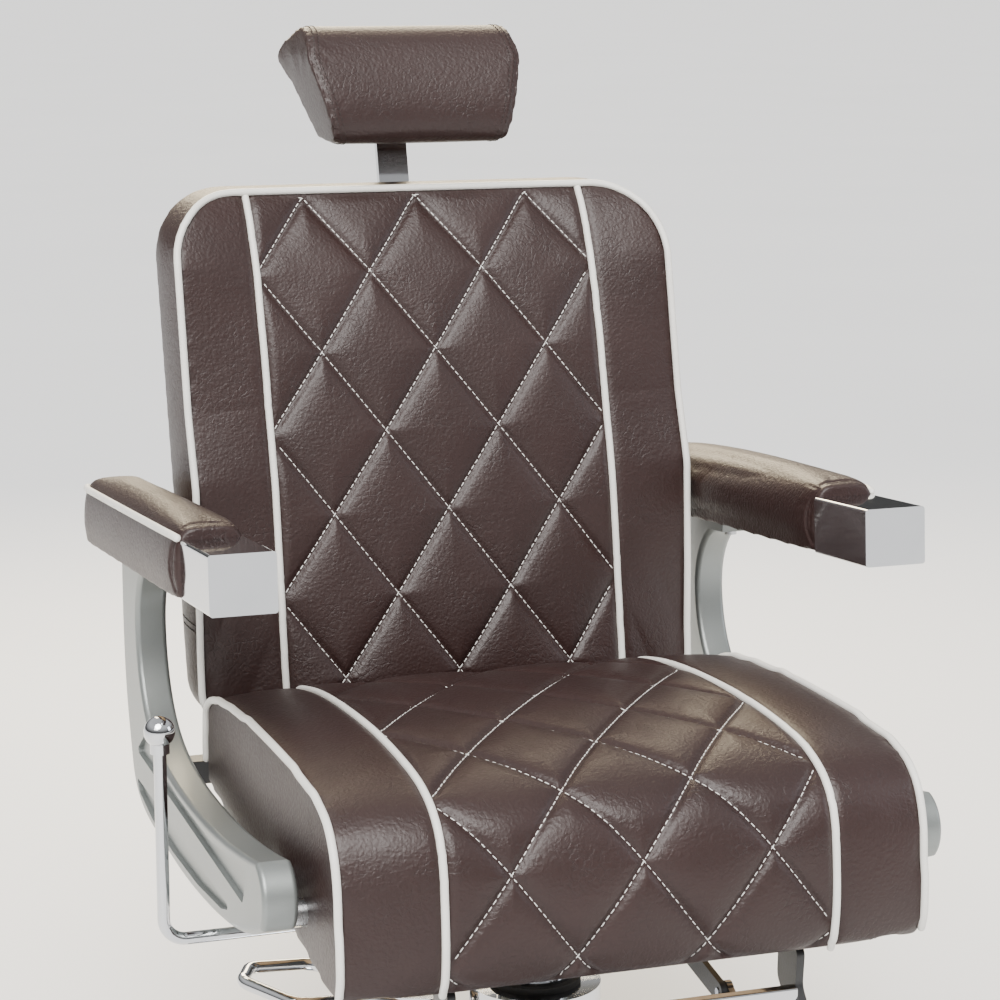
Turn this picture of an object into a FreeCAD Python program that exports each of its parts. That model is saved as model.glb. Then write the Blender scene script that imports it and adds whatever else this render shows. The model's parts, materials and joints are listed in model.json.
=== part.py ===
"""Hydraulic barber chair, modelled as it comes apart on the bench.

Millimetres. The origin is on the floor at the axis of the pump, +Z is up, the
sitter faces -Y and +X is the sitter's left. Everything is at rest: ram down,
back upright, head-rest lowered, foot-rest hanging.
"""

import FreeCAD
import Part
import math
import os

V = FreeCAD.Vector
os.makedirs("parts", exist_ok=True)

# ---------------------------------------------------------------- fits
PIN_FIT = 0.05          # radial gap of a pin that turns in its hole
SLIDE_FIT = 0.05        # radial gap of the ram in its bore
BOLT_FIT = 0.2          # radial gap round a screw
SIDE_GAP = 1.0          # gap between plates that pass each other
SEAM_GAP = 0.5          # gap round a board in its upholstery
CAP_GAP = 0.3           # gap round a board in its metal end cap
POST_GAP = 0.3          # gap round the flat post in its socket

# ---------------------------------------------------------------- base and pump
base_r = 300.0
base_plate_t = 10.0
cover_t = 2.0
cover_gap = 2.0
cover_low = 2.0
cover_shoulder_z = 24.0
cover_neck_z = 74.0
cover_neck_r = 66.0
pump_r = 60.0
pump_flange_r = 85.0
pump_flange_t = 12.0
pump_top = 250.0
pump_floor_t = 30.0
pump_bolt_pcd_r = 73.0
pump_bolt_r = 5.0
pump_bolt_head_r = 8.5
pump_bolt_head_h = 7.0
neck_ring_t = 6.0
neck_ring_h = 12.0
gland_r = 66.0
gland_h = 18.0
wiper_r = 46.0
wiper_h = 6.0

# ---------------------------------------------------------------- ram and swivel
ram_r = 38.0
ram_foot_z = 50.0
ram_top_z = 380.0
ram_flange_r = 70.0
ram_flange_t = 12.0
washer_in_r = 28.0
washer_r = 60.0
washer_t = 6.0
swivel_gap = 0.2
spindle_r = 20.0
spindle_len = 90.0
swivel_plate_t = 8.0
swivel_plate_half_x = 92.0
swivel_plate_half_y = 110.0
swivel_bolt_r = 5.0
swivel_bolt_y = 90.0

# ---------------------------------------------------------------- pedal
pedal_angle = 24.0      # the pump is turned so that its pedal points this far back of the side
pedal_pivot_r = 96.0
pedal_pivot_z = 236.0
pedal_rod_r = 6.5
pedal_reach = 292.0
pedal_tip_z = 260.0
pedal_half_w = 58.0
pedal_neck_r = 130.0
pedal_hub_half_w = 15.0
pedal_hub_r = 13.0
pedal_heel_drop = 6.0   # the heel's flat underside, below the pivot
pedal_pin_r = 6.0
pedal_ear_t = 7.0
pedal_ear_r = 13.0
plunger_r = 7.0
plunger_at = 128.0
plunger_top_gap = 0.4
plunger_stroke_room = 16.0
pump_block_half_w = 24.0
pump_block_low = 150.0
pump_block_high = 205.0

# ---------------------------------------------------------------- seat
seat_half_w = 280.0
seat_rear_y = 215.0
seat_front_y = -297.0
seat_wall = 18.0
apron_t = 24.0
seat_rear_wall = 14.0
seat_rear_low_z = 441.0
board_t = 12.0
seat_board_half_x = 250.0
rail_w = 30.0
rail_h = 30.0
rail_wall = 3.0
rail_x = 75.0
front_tube_y = -200.0
rear_tube_y = 311.0
rear_tube_h = 25.0
rear_tube_half_x = 285.0
side_plate_t = 8.0
side_plate_x = 258.0
side_plate_rear_y = -30.0

# ---------------------------------------------------------------- back
lean = math.radians(14.2)
back_plane_y = 247.0    # the back's front plane passes through this y ...
back_plane_z = 600.0    # ... at this height
back_half_w = 274.0
back_t = 104.0
back_low_z = 488.0
back_top_z = 1027.0
back_corner_r = 70.0
back_foot_corner_r = 30.0
back_wall = 18.0
foam_t = 66.0
back_board_top_z = 980.0
rear_panel_t = 12.0
rear_panel_top_z = 985.0
hinge_y = 273.0
hinge_z = 465.0
hinge_pin_r = 8.0
ear_x = 230.0
ear_t = 8.0
ear_r = 14.0
bracket_r = 16.0
bracket_t = 8.0
bracket_flange_w = 40.0
bracket_top_z = 690.0
bracket_depth = 13.0
bracket_flange_t = 5.0
bracket_screw_r = 3.0
crank_r = 9.0
crank_foot_h = 90.0
crank_toe_w = 34.0

# ---------------------------------------------------------------- arms
arm_in_x = 299.0
arm_out_x = 332.0
arm_slope = math.radians(4.3)
arm_base_y = 437.0      # rear end of the arm pad ...
arm_base_z = 652.0      # ... and its underside there
pad_len = 454.0
pad_in_x = 288.0
pad_out_x = 357.0
pad_h = 62.0
cap_len = 114.0
cap_in_x = 290.0
cap_out_x = 353.0
cap_low = 6.0
cap_h = 49.0
cap_wall = 4.0
arm_board_in_x = 302.0
arm_board_out_x = 341.0
arm_board_t = 10.0
arm_board_into_cap = 60.0
arm_bolt_r = 6.0
arm_spacer_r = 13.0
arm_flange_t = 10.0
arm_nose = 16.0         # the flange's front end, forward of its screw
arm_lug_tip = (-221.0, 459.0)
arm_edge_r = 5.0
arm_pocket = 5.0
arm_screw_r = 3.0
arm_screw_y = 250.0
arm_bolt_places = ((-172.0, 427.0), (-62.0, 424.0), (rear_tube_y, 423.7))

# ---------------------------------------------------------------- head-rest
post_half_w = 17.0
post_t = 8.0
post_foot_z = 835.0
post_head_z = 1093.0
socket_half_w = 26.0
socket_low_z = 850.0
socket_high_z = 985.0
socket_wall = 4.0
knob_z = 905.0
knob_r = 20.0
knob_lobe_r = 7.5
knob_t = 14.0
knob_screw_r = 4.0
tilt_y = 486.0
tilt_z = 1104.0
tilt_pin_r = 5.0
tilt_hub_r = 10.0
head_half_w = 120.0
head_foot_half_w = 94.0
head_plate_half_w = 55.0
head_plate_t = 5.0
head_ear_t = 5.0

# ---------------------------------------------------------------- lever and gas spring
lever_x = -385.0
lever_y = -55.0
lever_z = 372.0
lever_r = 6.0
lever_bend_r = 21.0
lever_ball_z = 573.0
lever_ball_r = 14.5
lever_in_x = -100.0
lever_bracket_x = (-232.0, -138.0)
lever_bracket_t = 6.0
lever_bracket_r = 13.0
bush_r = 9.0
gas_x = -110.0
gas_y = -30.0
gas_z = 400.0
gas_r = 11.0
gas_len = 150.0
gas_rod_r = 5.0
gas_pin_r = 4.0
gas_valve_r = 2.5
gas_eye_r = 11.0
gas_eye_t = 12.0
gas_eye_bore_r = 5.8    # the open pivot: this hole is larger than its pin
gas_crank = (0.0, -40.0)
gas_sag = 1.15          # half the rise of the pin's arc over its travel

# ---------------------------------------------------------------- foot-rest
foot_y = -222.0
foot_z = 384.0
foot_arm_x = 170.0
foot_arm_t = 8.0
foot_pin_r = 6.0
foot_ear_t = 6.0
foot_ear_r = 14.0
foot_arm_eye_r = 17.0
crossbar_t = 12.0
crossbar_front_y = -259.0
crossbar_top_z = 331.0
crossbar_low_z = 292.0
link_crank = (-10.0, -58.0)
link_x = 100.0
link_t = 6.0
link_h = 20.0
link_pin_r = 4.0
link_open_bore_r = 4.6  # the open pivot at the foot-rest end
tray_half_w = 150.0
tray_depth = 118.0
tray_t = 8.0
tray_y = -425.0
tray_z = 118.0
tray_tilt = math.radians(12.0)
mat_t = 5.0
tray_flange_h = 22.0
tray_bolt_r = 4.0
tray_bolt_y = (-12.0, -32.0)
tray_bolt_z = 14.0

# places that follow from the sizes above
swivel_z = ram_top_z + ram_flange_t + washer_t + swivel_gap
rail_z = swivel_z + swivel_plate_t
board_z = rail_z + rail_h
seat_foam_z = board_z + board_t
foot_ear_x = foot_arm_x + foot_arm_t / 2 + SIDE_GAP + foot_ear_t / 2
bracket_x = ear_x + ear_t / 2 + SIDE_GAP + bracket_t / 2
crank_x = link_x + link_t / 2 + SIDE_GAP + link_t / 2
gas_crank_x = gas_x - gas_eye_t / 2 - 2 * SIDE_GAP - link_t / 2


# ================================================================ helpers
def save(name, shape):
    """Write one node; a shape of one solid is written as that solid."""
    clean = shape.removeSplitter() if shape.ShapeType != "Compound" else shape
    clean.exportStep("parts/" + name + ".step")


def yz(a, b):
    return V(0, a, b)


def xy(a, b):
    return V(a, b, 0)


def xz(a, b):
    return V(a, 0, b)


def outline(corners, place):
    """Closed face through (a, b, radius) corners, each rounded by its radius."""
    ends = []
    edges = []
    count = len(corners)
    for i in range(count):
        before, here, after = corners[i - 1], corners[i], corners[(i + 1) % count]
        point = place(here[0], here[1])
        if here[2] <= 0:
            ends.append((point, point, None))
            continue
        one = (place(before[0], before[1]) - point).normalize()
        two = (place(after[0], after[1]) - point).normalize()
        half = one.getAngle(two) / 2
        back_off = here[2] / math.tan(half)
        inward = (one + two).normalize()
        middle = point + inward * (here[2] / math.sin(half) - here[2])
        ends.append((point + one * back_off, point + two * back_off, middle))
    for i in range(count):
        start, stop, middle = ends[i]
        following = ends[(i + 1) % count][0]
        if middle is not None:
            edges.append(Part.Arc(start, middle, stop).toShape())
        if stop.distanceToPoint(following) > 1e-6:
            edges.append(Part.LineSegment(stop, following).toShape())
    return Part.Face(Part.Wire(edges))


def sharp(points):
    return [(a, b, 0) for a, b in points]


def slab_x(corners, x0, x1):
    """Plate across the chair: a (y, z, radius) outline from x0 to x1."""
    face = outline(corners, yz)
    face.translate(V(x0, 0, 0))
    return face.extrude(V(x1 - x0, 0, 0))


def slab_z(corners, z0, z1):
    """Plate lying flat: an (x, y, radius) outline from z0 to z1."""
    face = outline(corners, xy)
    face.translate(V(0, 0, z0))
    return face.extrude(V(0, 0, z1 - z0))


def box(x0, x1, y0, y1, z0, z1):
    return Part.makeBox(x1 - x0, y1 - y0, z1 - z0, V(x0, y0, z0))


def rod_x(y, z, r, x0, x1):
    return Part.makeCylinder(r, x1 - x0, V(x0, y, z), V(1, 0, 0))


def rod_y(x, z, r, y0, y1):
    return Part.makeCylinder(r, y1 - y0, V(x, y0, z), V(0, 1, 0))


def rod_z(x, y, r, z0, z1):
    return Part.makeCylinder(r, z1 - z0, V(x, y, z0), V(0, 0, 1))


def ring_z(r_in, r_out, z0, z1):
    return rod_z(0, 0, r_out, z0, z1).cut(rod_z(0, 0, r_in, z0 - 1, z1 + 1))


def fuse(shapes):
    whole = shapes[0]
    for other in shapes[1:]:
        whole = whole.fuse(other)
    return whole.removeSplitter()


def cut(shape, tools):
    for tool in tools:
        shape = shape.cut(tool)
    return shape


def mirrored(shape):
    return shape.mirror(V(0, 0, 0), V(1, 0, 0))


def both_sides(shape):
    return Part.makeCompound([shape, mirrored(shape)])


def curve(points):
    line = Part.BSplineCurve()
    line.interpolate(points)
    return line.toShape()


def link_plate(ends, r, x0, x1):
    """Straight bar with round ends between two (y, z) centres."""
    (ya, za), (yb, zb) = ends
    along = V(0, yb - ya, zb - za)
    turn = math.degrees(math.atan2(along.z, along.y))
    bar = box(x0, x1, 0, along.Length, -r, r)
    bar.rotate(V(0, 0, 0), V(1, 0, 0), turn)
    bar.translate(V(0, ya, za))
    return fuse([bar, rod_x(ya, za, r, x0, x1), rod_x(yb, zb, r, x0, x1)])


# ================================================================ base and pump
def make_base_plate():
    plate = rod_z(0, 0, base_r - cover_t - cover_gap, 0, base_plate_t)
    holes = [rod_z(x, y, pump_bolt_r, 0, base_plate_t + 1) for x, y in pump_bolt_centres()]
    return cut(plate, holes)


def pump_bolt_centres():
    quarter = math.pi / 2
    spots = [quarter / 2 + i * quarter for i in range(4)]
    return [(pump_bolt_pcd_r * math.cos(a), pump_bolt_pcd_r * math.sin(a)) for a in spots]


def make_base_cover():
    """Spun dome of even wall from the rim up to the neck round the pump."""
    knee = V(cover_neck_r + 84, 0, 50)
    rim = V(base_r, 0, cover_low)
    shoulder = V(base_r - 16, 0, cover_shoulder_z)
    neck = V(cover_neck_r, 0, cover_neck_z)
    crown = Part.Arc(V(base_r, 0, base_plate_t), V(base_r - 5, 0, 19), shoulder).toShape()
    rise = curve([shoulder, V(base_r - 70, 0, 35), knee, V(cover_neck_r + 24, 0, 60), neck])
    drop = V(0, 0, -cover_t)
    inner_rim = V(base_r - cover_t, 0, cover_low)
    inner_knee = V(base_r - cover_t, 0, base_plate_t)
    inner_shoulder = shoulder + drop
    inner_arc = Part.Arc(inner_knee, V(base_r - 6.5, 0, 17), inner_shoulder).toShape()
    inner_points = [inner_shoulder, V(base_r - 70, 0, 35) + drop, knee + drop]
    inner_points += [V(cover_neck_r + 24, 0, 60) + drop, neck + drop]
    edges = [
        Part.LineSegment(rim, V(base_r, 0, base_plate_t)).toShape(),
        crown,
        rise,
        Part.LineSegment(neck, neck + drop).toShape(),
        curve(inner_points),
        inner_arc,
        Part.LineSegment(inner_knee, inner_rim).toShape(),
        Part.LineSegment(inner_rim, rim).toShape(),
    ]
    face = Part.Face(Part.Wire(Part.__sortEdges__(edges)))
    return face.revolve(V(0, 0, 0), V(0, 0, 1), 360)


def make_neck_ring():
    low = cover_neck_z
    ring = ring_z(pump_r + SEAM_GAP, cover_neck_r + neck_ring_t, low, low + neck_ring_h)
    return ring.makeFillet(2.0, ring.Edges[:1])


def turned_to_pedal(shape):
    """Turn a piece built along -X to the side where the pedal is."""
    shape.rotate(V(0, 0, 0), V(0, 0, 1), -pedal_angle)
    return shape


def make_pump_body():
    flange = rod_z(0, 0, pump_flange_r, base_plate_t, base_plate_t + pump_flange_t)
    barrel = rod_z(0, 0, pump_r, base_plate_t, pump_top)
    half = pump_block_half_w
    block = box(-plunger_at - 18, -pump_r + 10, -half, half, pump_block_low, pump_block_high)
    body = fuse([flange, barrel, turned_to_pedal(block)])
    bore = rod_z(0, 0, ram_r + SLIDE_FIT, base_plate_t + pump_floor_t, pump_top + 1)
    holes = [rod_z(x, y, pump_bolt_r + BOLT_FIT, 0, 60) for x, y in pump_bolt_centres()]
    socket_low = pump_block_low + 8
    plunger_hole = rod_z(-plunger_at, 0, plunger_r + PIN_FIT, socket_low, pump_block_high + 1)
    return cut(body, [bore, turned_to_pedal(plunger_hole)] + holes)


def make_pump_bolts():
    seat = base_plate_t + pump_flange_t
    bolts = []
    for x, y in pump_bolt_centres():
        head = rod_z(x, y, pump_bolt_head_r, seat, seat + pump_bolt_head_h)
        shank = rod_z(x, y, pump_bolt_r - PIN_FIT, 1, seat)
        bolts.append(fuse([head, shank]))
    return Part.makeCompound(bolts)


def make_gland():
    ring = ring_z(ram_r + SLIDE_FIT, gland_r, pump_top, pump_top + gland_h)
    return ring


def make_wiper():
    low = pump_top + gland_h
    return ring_z(ram_r + SLIDE_FIT, wiper_r, low, low + wiper_h)


def make_pedal_ears():
    """Two ears that rise from the pump's side block and carry the pedal pin."""
    ears = []
    inner = pedal_hub_half_w + SIDE_GAP
    for side in (-1, 1):
        y0 = side * inner if side > 0 else -inner - pedal_ear_t
        y1 = y0 + pedal_ear_t
        x0 = -pedal_pivot_r - pedal_ear_r
        lug = box(x0, x0 + 2 * pedal_ear_r, y0, y1, pump_block_high, pedal_pivot_z)
        top = rod_y(-pedal_pivot_r, pedal_pivot_z, pedal_ear_r, y0, y1)
        hole = rod_y(-pedal_pivot_r, pedal_pivot_z, pedal_pin_r, y0 - 1, y1 + 1)
        ears.append(turned_to_pedal(fuse([lug, top]).cut(hole)))
    return Part.makeCompound(ears)


def make_pedal_pin():
    half = pedal_hub_half_w + SIDE_GAP + pedal_ear_t
    shank = rod_y(-pedal_pivot_r, pedal_pivot_z, pedal_pin_r, -half, half)
    head = rod_y(-pedal_pivot_r, pedal_pivot_z, pedal_pin_r + 4, half, half + 3)
    clip = rod_y(-pedal_pivot_r, pedal_pivot_z, pedal_pin_r + 2.5, -half - 1.5, -half)
    return turned_to_pedal(fuse([shank, head, clip]))


def make_pedal_hub():
    """Hub on the pin with a heel that presses the plunger."""
    half = pedal_hub_half_w
    hub = rod_y(-pedal_pivot_r, pedal_pivot_z, pedal_hub_r, -half, half)
    heel_low = pedal_pivot_z - pedal_heel_drop
    top = pedal_pivot_z + pedal_hub_r
    arm = box(-pedal_neck_r - 14, -pedal_pivot_r, -half, half, heel_low, top)
    bore = rod_y(-pedal_pivot_r, pedal_pivot_z, pedal_pin_r + PIN_FIT, -half - 1, half + 1)
    hub = fuse([hub, arm]).cut(bore)
    for leg in pedal_leg_sockets():
        hub = hub.cut(leg)
    return turned_to_pedal(hub)


def pedal_path():
    """Centre line of the bent rod: out from the hub, round the foot loop and back."""
    rise = (pedal_tip_z - pedal_pivot_z) / (pedal_reach - pedal_pivot_r)
    root_z = pedal_pivot_z + 3
    places = []
    plan = [(-pedal_neck_r, 9.0), (-pedal_neck_r - 30, 12.0)]
    plan += [(-pedal_reach + 62, pedal_half_w), (-pedal_reach, 20.0)]
    for x, y in plan:
        places.append(V(x, y, root_z + rise * (-x - pedal_pivot_r)))
    return places + [V(p.x, -p.y, p.z) for p in reversed(places)]


def pedal_leg_sockets():
    path = pedal_path()
    holes = []
    for a, b in ((path[0], path[1]), (path[-1], path[-2])):
        along = b - a
        holes.append(Part.makeCylinder(pedal_rod_r, along.Length, a, along))
    return holes


def bent_rod(points, radius, bends):
    """Round bar along straight runs joined by tangent arcs of the given radii."""
    edges = []
    here = points[0]
    for i in range(1, len(points) - 1):
        corner = points[i]
        one = (points[i - 1] - corner).normalize()
        two = (points[i + 1] - corner).normalize()
        half = one.getAngle(two) / 2
        off = bends[i - 1] / math.tan(half)
        middle = corner + (one + two).normalize() * (bends[i - 1] / math.sin(half) - bends[i - 1])
        start = corner + one * off
        stop = corner + two * off
        edges.append(Part.LineSegment(here, start).toShape())
        edges.append(Part.Arc(start, middle, stop).toShape())
        here = stop
    edges.append(Part.LineSegment(here, points[-1]).toShape())
    path = Part.Wire(edges)
    ring = Part.Wire(Part.makeCircle(radius, points[0], points[1] - points[0]))
    return path.makePipeShell([ring], True, True)


def make_pedal_loop():
    path = pedal_path()
    return turned_to_pedal(bent_rod(path, pedal_rod_r, [25, 25, 18, 18, 25, 25]))


def make_plunger():
    low = pump_block_low + 8 + plunger_stroke_room
    top = pedal_pivot_z - pedal_heel_drop - plunger_top_gap
    stem = rod_z(-plunger_at, 0, plunger_r, low, top)
    return turned_to_pedal(stem)


# ================================================================ ram and swivel
def make_ram_tube():
    tube = rod_z(0, 0, ram_r, ram_foot_z, ram_top_z)
    spindle_hole = rod_z(0, 0, spindle_r + PIN_FIT, swivel_z - spindle_len - 4, ram_top_z + 1)
    return tube.cut(spindle_hole)


def make_ram_flange():
    low = ram_top_z
    cone = Part.makeCone(ram_r + 10, ram_flange_r, 6, V(0, 0, low))
    rim = rod_z(0, 0, ram_flange_r, low + 6, low + ram_flange_t)
    hole = rod_z(0, 0, spindle_r + PIN_FIT, low - 1, low + 20)
    return fuse([cone, rim]).cut(hole)


def make_thrust_washer():
    low = ram_top_z + ram_flange_t
    return ring_z(washer_in_r, washer_r, low, low + washer_t)


def swivel_bolt_spots():
    return [(x, y) for x in (-rail_x, rail_x) for y in (-swivel_bolt_y, swivel_bolt_y)]


def make_swivel_plate():
    a, b = swivel_plate_half_x, swivel_plate_half_y
    plate = slab_z([(-a, -b, 14), (a, -b, 14), (a, b, 14), (-a, b, 14)], swivel_z, rail_z)
    spots = swivel_bolt_spots()
    holes = [rod_z(x, y, swivel_bolt_r + BOLT_FIT, swivel_z - 1, rail_z + 1) for x, y in spots]
    centre = rod_z(0, 0, spindle_r, swivel_z - 1, rail_z + 1)
    return cut(plate, holes + [centre])


def make_swivel_spindle():
    stem = rod_z(0, 0, spindle_r, swivel_z - spindle_len, rail_z)
    cap = rod_z(0, 0, spindle_r + 6, rail_z, rail_z + 4)
    return fuse([stem, cap])


def make_swivel_bolts():
    bolts = []
    for x, y in swivel_bolt_spots():
        head = rod_z(x, y, 8, swivel_z - 6, swivel_z)
        shank = rod_z(x, y, swivel_bolt_r, swivel_z, rail_z + rail_wall)
        bolts.append(fuse([head, shank]))
    return Part.makeCompound(bolts)


# ================================================================ seat
def tube(x0, x1, y0, y1, z0, z1, axis):
    outer = box(x0, x1, y0, y1, z0, z1)
    t = rail_wall
    if axis == "x":
        return outer.cut(box(x0 - 1, x1 + 1, y0 + t, y1 - t, z0 + t, z1 - t))
    return outer.cut(box(x0 + t, x1 - t, y0 - 1, y1 + 1, z0 + t, z1 - t))


def make_seat_frame():
    """Welded frame: two rails, front and rear tubes, side plates and hinge ears."""
    half = rail_w / 2
    rail_rear = rear_tube_y - rear_tube_h / 2
    pieces = []
    for side in (-1, 1):
        x = side * rail_x
        rail = tube(x - half, x + half, front_tube_y + half, rail_rear, rail_z, board_z, "y")
        x0 = side * side_plate_x - side_plate_t / 2
        x1 = x0 + side_plate_t
        pieces.append(rail)
        pieces.append(box(x0, x1, front_tube_y - half, side_plate_rear_y, rail_z, board_z))
        pieces.append(make_hinge_ear(side))
        pieces.append(make_foot_ear(side))
    reach = side_plate_x + side_plate_t / 2
    y0 = front_tube_y - half
    pieces.append(tube(-reach, reach, y0, y0 + rail_w, rail_z, board_z, "x"))
    rear_low = board_z - rear_tube_h
    span = rear_tube_half_x
    pieces.append(tube(-span, span, rail_rear, rail_rear + rear_tube_h, rear_low, board_z, "x"))
    frame = fuse(pieces)
    top = rail_z + rail_wall + 1
    holes = [rod_z(x, y, swivel_bolt_r, rail_z - 1, top) for x, y in swivel_bolt_spots()]
    for y, z in arm_bolt_places[:2]:
        holes.append(rod_x(y, z, arm_bolt_r, -reach - 1, -reach + side_plate_t + 1))
        holes.append(rod_x(y, z, arm_bolt_r, reach - side_plate_t - 1, reach + 1))
    return cut(frame, holes)


def make_hinge_ear(side):
    """Plate from the rear tube forward and up to the back's hinge pin."""
    x0 = side * ear_x - ear_t / 2
    low = board_z - rear_tube_h
    y1 = rear_tube_y - rear_tube_h / 2
    body = slab_x([(hinge_y - ear_r, hinge_z, 0), (hinge_y - 4, low + 6, 6), (y1, low, 0),
                   (y1, board_z, 0), (hinge_y + ear_r, hinge_z, 0)], x0, x0 + ear_t)
    eye = rod_x(hinge_y, hinge_z, ear_r, x0, x0 + ear_t)
    hole = rod_x(hinge_y, hinge_z, hinge_pin_r, x0 - 1, x0 + ear_t + 1)
    return fuse([body, eye]).cut(hole)


def make_foot_ear(side):
    """Plate hanging from the front tube to the foot-rest pivot."""
    x0 = side * foot_ear_x - foot_ear_t / 2
    x1 = x0 + foot_ear_t
    y0 = front_tube_y - rail_w / 2
    low = [(foot_y - foot_ear_r, foot_z), (foot_y + 12, foot_z - 8)]
    body = slab_x(sharp(low + [(y0 + rail_w, rail_z), (y0, rail_z)]), x0, x1)
    eye = rod_x(foot_y, foot_z, foot_ear_r, x0, x1)
    hole = rod_x(foot_y, foot_z, foot_pin_r, x0 - 1, x1 + 1)
    return fuse([body, eye]).cut(hole)


def make_seat_board():
    y0 = seat_front_y + apron_t + 8
    y1 = seat_rear_y - seat_rear_wall - 4
    a = seat_board_half_x
    return slab_z([(-a, y0, 12), (a, y0, 12), (a, y1, 12), (-a, y1, 12)], board_z, seat_foam_z)


def make_seat_cushion():
    """Foam and cover as one closed body: crowned top, waterfall front, open underside."""
    top = [(seat_rear_y, 500), (seat_rear_y - 5, 528), (145, 547), (60, 557), (-40, 563)]
    front = [(-130, 561), (-200, 553), (-250, 541), (-281, 515), (-294, 480)]
    front += [(seat_front_y, 440), (-292, 398), (-283, 379)]
    under = [(-262, 374), (-235, 374), (-115, 391), (seat_rear_y, 436)]
    face = outline(sharp(top + front + under), yz)
    face.translate(V(-seat_half_w, 0, 0))
    body = face.extrude(V(2 * seat_half_w, 0, 0))
    reach = seat_half_w - seat_wall
    below = 300
    rear_wall_y = seat_rear_y - seat_rear_wall
    room = box(-reach, reach, seat_front_y + apron_t, rear_wall_y, below, seat_foam_z)
    rear_way = box(-reach, reach, rear_wall_y - 1, seat_rear_y + 1, below, seat_rear_low_z)
    holes = [room, rear_way]
    for y, z in arm_bolt_places[:2]:
        holes.append(rod_x(y, z, arm_spacer_r + SEAM_GAP, -seat_half_w - 1, seat_half_w + 1))
    return cut(body, holes)


# ================================================================ arms
def arm_frame_outline():
    """Cast side frame: a C that opens forward, ending in the lug under the seat side."""
    front = [(262, 655), (290, 632), (303, 603), (303, 570), (292, 535), (268, 503)]
    front += [(225, 479), (150, 465), (60, 462), (-30, 465), (-120, 474), (-196, 486)]
    rear = [(-212, 427), (-165, 409), (-64, 389), (30, 381), (134, 380), (225, 385), (300, 396)]
    heel = [(328, 412), (346, 445), (362, 490), (372, 545), (374, 600), (374, 654)]
    return front, rear + heel


def arm_frame_prism():
    """The casting before its pockets, with its long edges rounded."""
    front, rear = arm_frame_outline()
    rear_y = rear[-1][0]
    nose_y = arm_screw_y - arm_nose
    nose_z = arm_underside(nose_y)
    flange = [yz(*rear[-1]), yz(rear_y, arm_underside(rear_y)), yz(nose_y, nose_z)]
    flange += [yz(nose_y, nose_z - arm_flange_t), yz(*front[0])]
    edges = [
        curve([yz(*p) for p in front]),
        Part.Arc(yz(*front[-1]), yz(*arm_lug_tip), yz(*rear[0])).toShape(),
        curve([yz(*p) for p in rear]),
    ]
    edges += [Part.LineSegment(a, b).toShape() for a, b in zip(flange, flange[1:])]
    face = Part.Face(Part.Wire(edges))
    face.translate(V(arm_in_x, 0, 0))
    body = face.extrude(V(arm_out_x - arm_in_x, 0, 0))
    bent = [e for e in body.Edges if e.BoundBox.XLength < 0.01 and not is_straight(e)]
    return body.makeFillet(arm_edge_r, bent)


def is_straight(edge):
    return isinstance(edge.Curve, (Part.Line, Part.LineSegment))


def make_arm_frame():
    """Cast side frame with two pockets in its outer face, parted by a rib."""
    upper = [(316, 450, 4), (-146, 432, 6), (-164, 468, 6), (-110, 462, 40), (-20, 453, 60)]
    upper += [(120, 455, 80), (222, 466, 60), (262, 484, 20)]
    lower = [(322, 420, 4), (-104, 411, 3), (-60, 399, 30), (40, 391, 60), (150, 390, 60)]
    lower += [(240, 395, 40), (306, 407, 8)]
    body = arm_frame_prism()
    for corners in (upper, lower):
        body = body.cut(slab_x(corners, arm_out_x - arm_pocket, arm_out_x + 1))
    x1 = arm_out_x - arm_pocket - 7
    holes = [rod_x(y, z, arm_bolt_r, arm_in_x - 1, x1) for y, z in arm_bolt_places]
    return cut(body, holes + [arm_screw_hole(arm_screw_y, arm_screw_r)])


def arm_underside(y):
    return arm_base_z + (arm_base_y - y) * math.tan(arm_slope)


def on_arm(shape):
    """Move a piece built level behind y = 0 onto the sloping arm."""
    shape.rotate(V(0, 0, 0), V(1, 0, 0), -math.degrees(arm_slope))
    shape.translate(V(0, arm_base_y, arm_base_z))
    return shape


def make_arm_pad():
    """Closed body of the pad with a channel below for its board."""
    crown = [(pad_in_x, 0, 6), (pad_out_x, 0, 6), (pad_out_x, pad_h - 8, 10), (pad_in_x, pad_h - 8, 10)]
    face = outline(crown, xz)
    body = face.extrude(V(0, -pad_len, 0))
    x0 = arm_board_in_x - SEAM_GAP
    x1 = arm_board_out_x + SEAM_GAP
    channel = box(x0, x1, -pad_len - 1, -8, -1, arm_board_t + SEAM_GAP)
    return on_arm(body.cut(channel))


def make_arm_board():
    y0 = -pad_len - arm_board_into_cap
    body = on_arm(box(arm_board_in_x, arm_board_out_x, y0, -10, 0, arm_board_t))
    return body.cut(arm_screw_hole(arm_screw_y, arm_screw_r))


def make_arm_cap():
    """Polished end casting: a hollow box closed at the front."""
    y1 = -pad_len - CAP_GAP
    low = cap_low - cap_wall - 3
    high = cap_low + cap_h
    corners = [(cap_in_x, low, 3), (cap_out_x, low, 3), (cap_out_x, high, 3), (cap_in_x, high, 3)]
    face = outline(corners, xz)
    body = face.extrude(V(0, -cap_len, 0))
    body.translate(V(0, y1, 0))
    x0 = cap_in_x + cap_wall
    x1 = cap_out_x - cap_wall
    room = box(x0, x1, y1 - cap_len + cap_wall, y1 + 1, arm_board_t + CAP_GAP, high - cap_wall)
    a = arm_board_in_x - CAP_GAP
    b = arm_board_out_x + CAP_GAP
    slot = box(a, b, -pad_len - arm_board_into_cap - 1, y1 + 1, -CAP_GAP, arm_board_t + 1)
    return on_arm(cut(body, [room, slot]))


def arm_screw_hole(y, r):
    x = (arm_in_x + arm_out_x) / 2
    return rod_z(x, y, r, arm_underside(y) - 30, arm_underside(y) + arm_board_t - 2)


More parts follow.
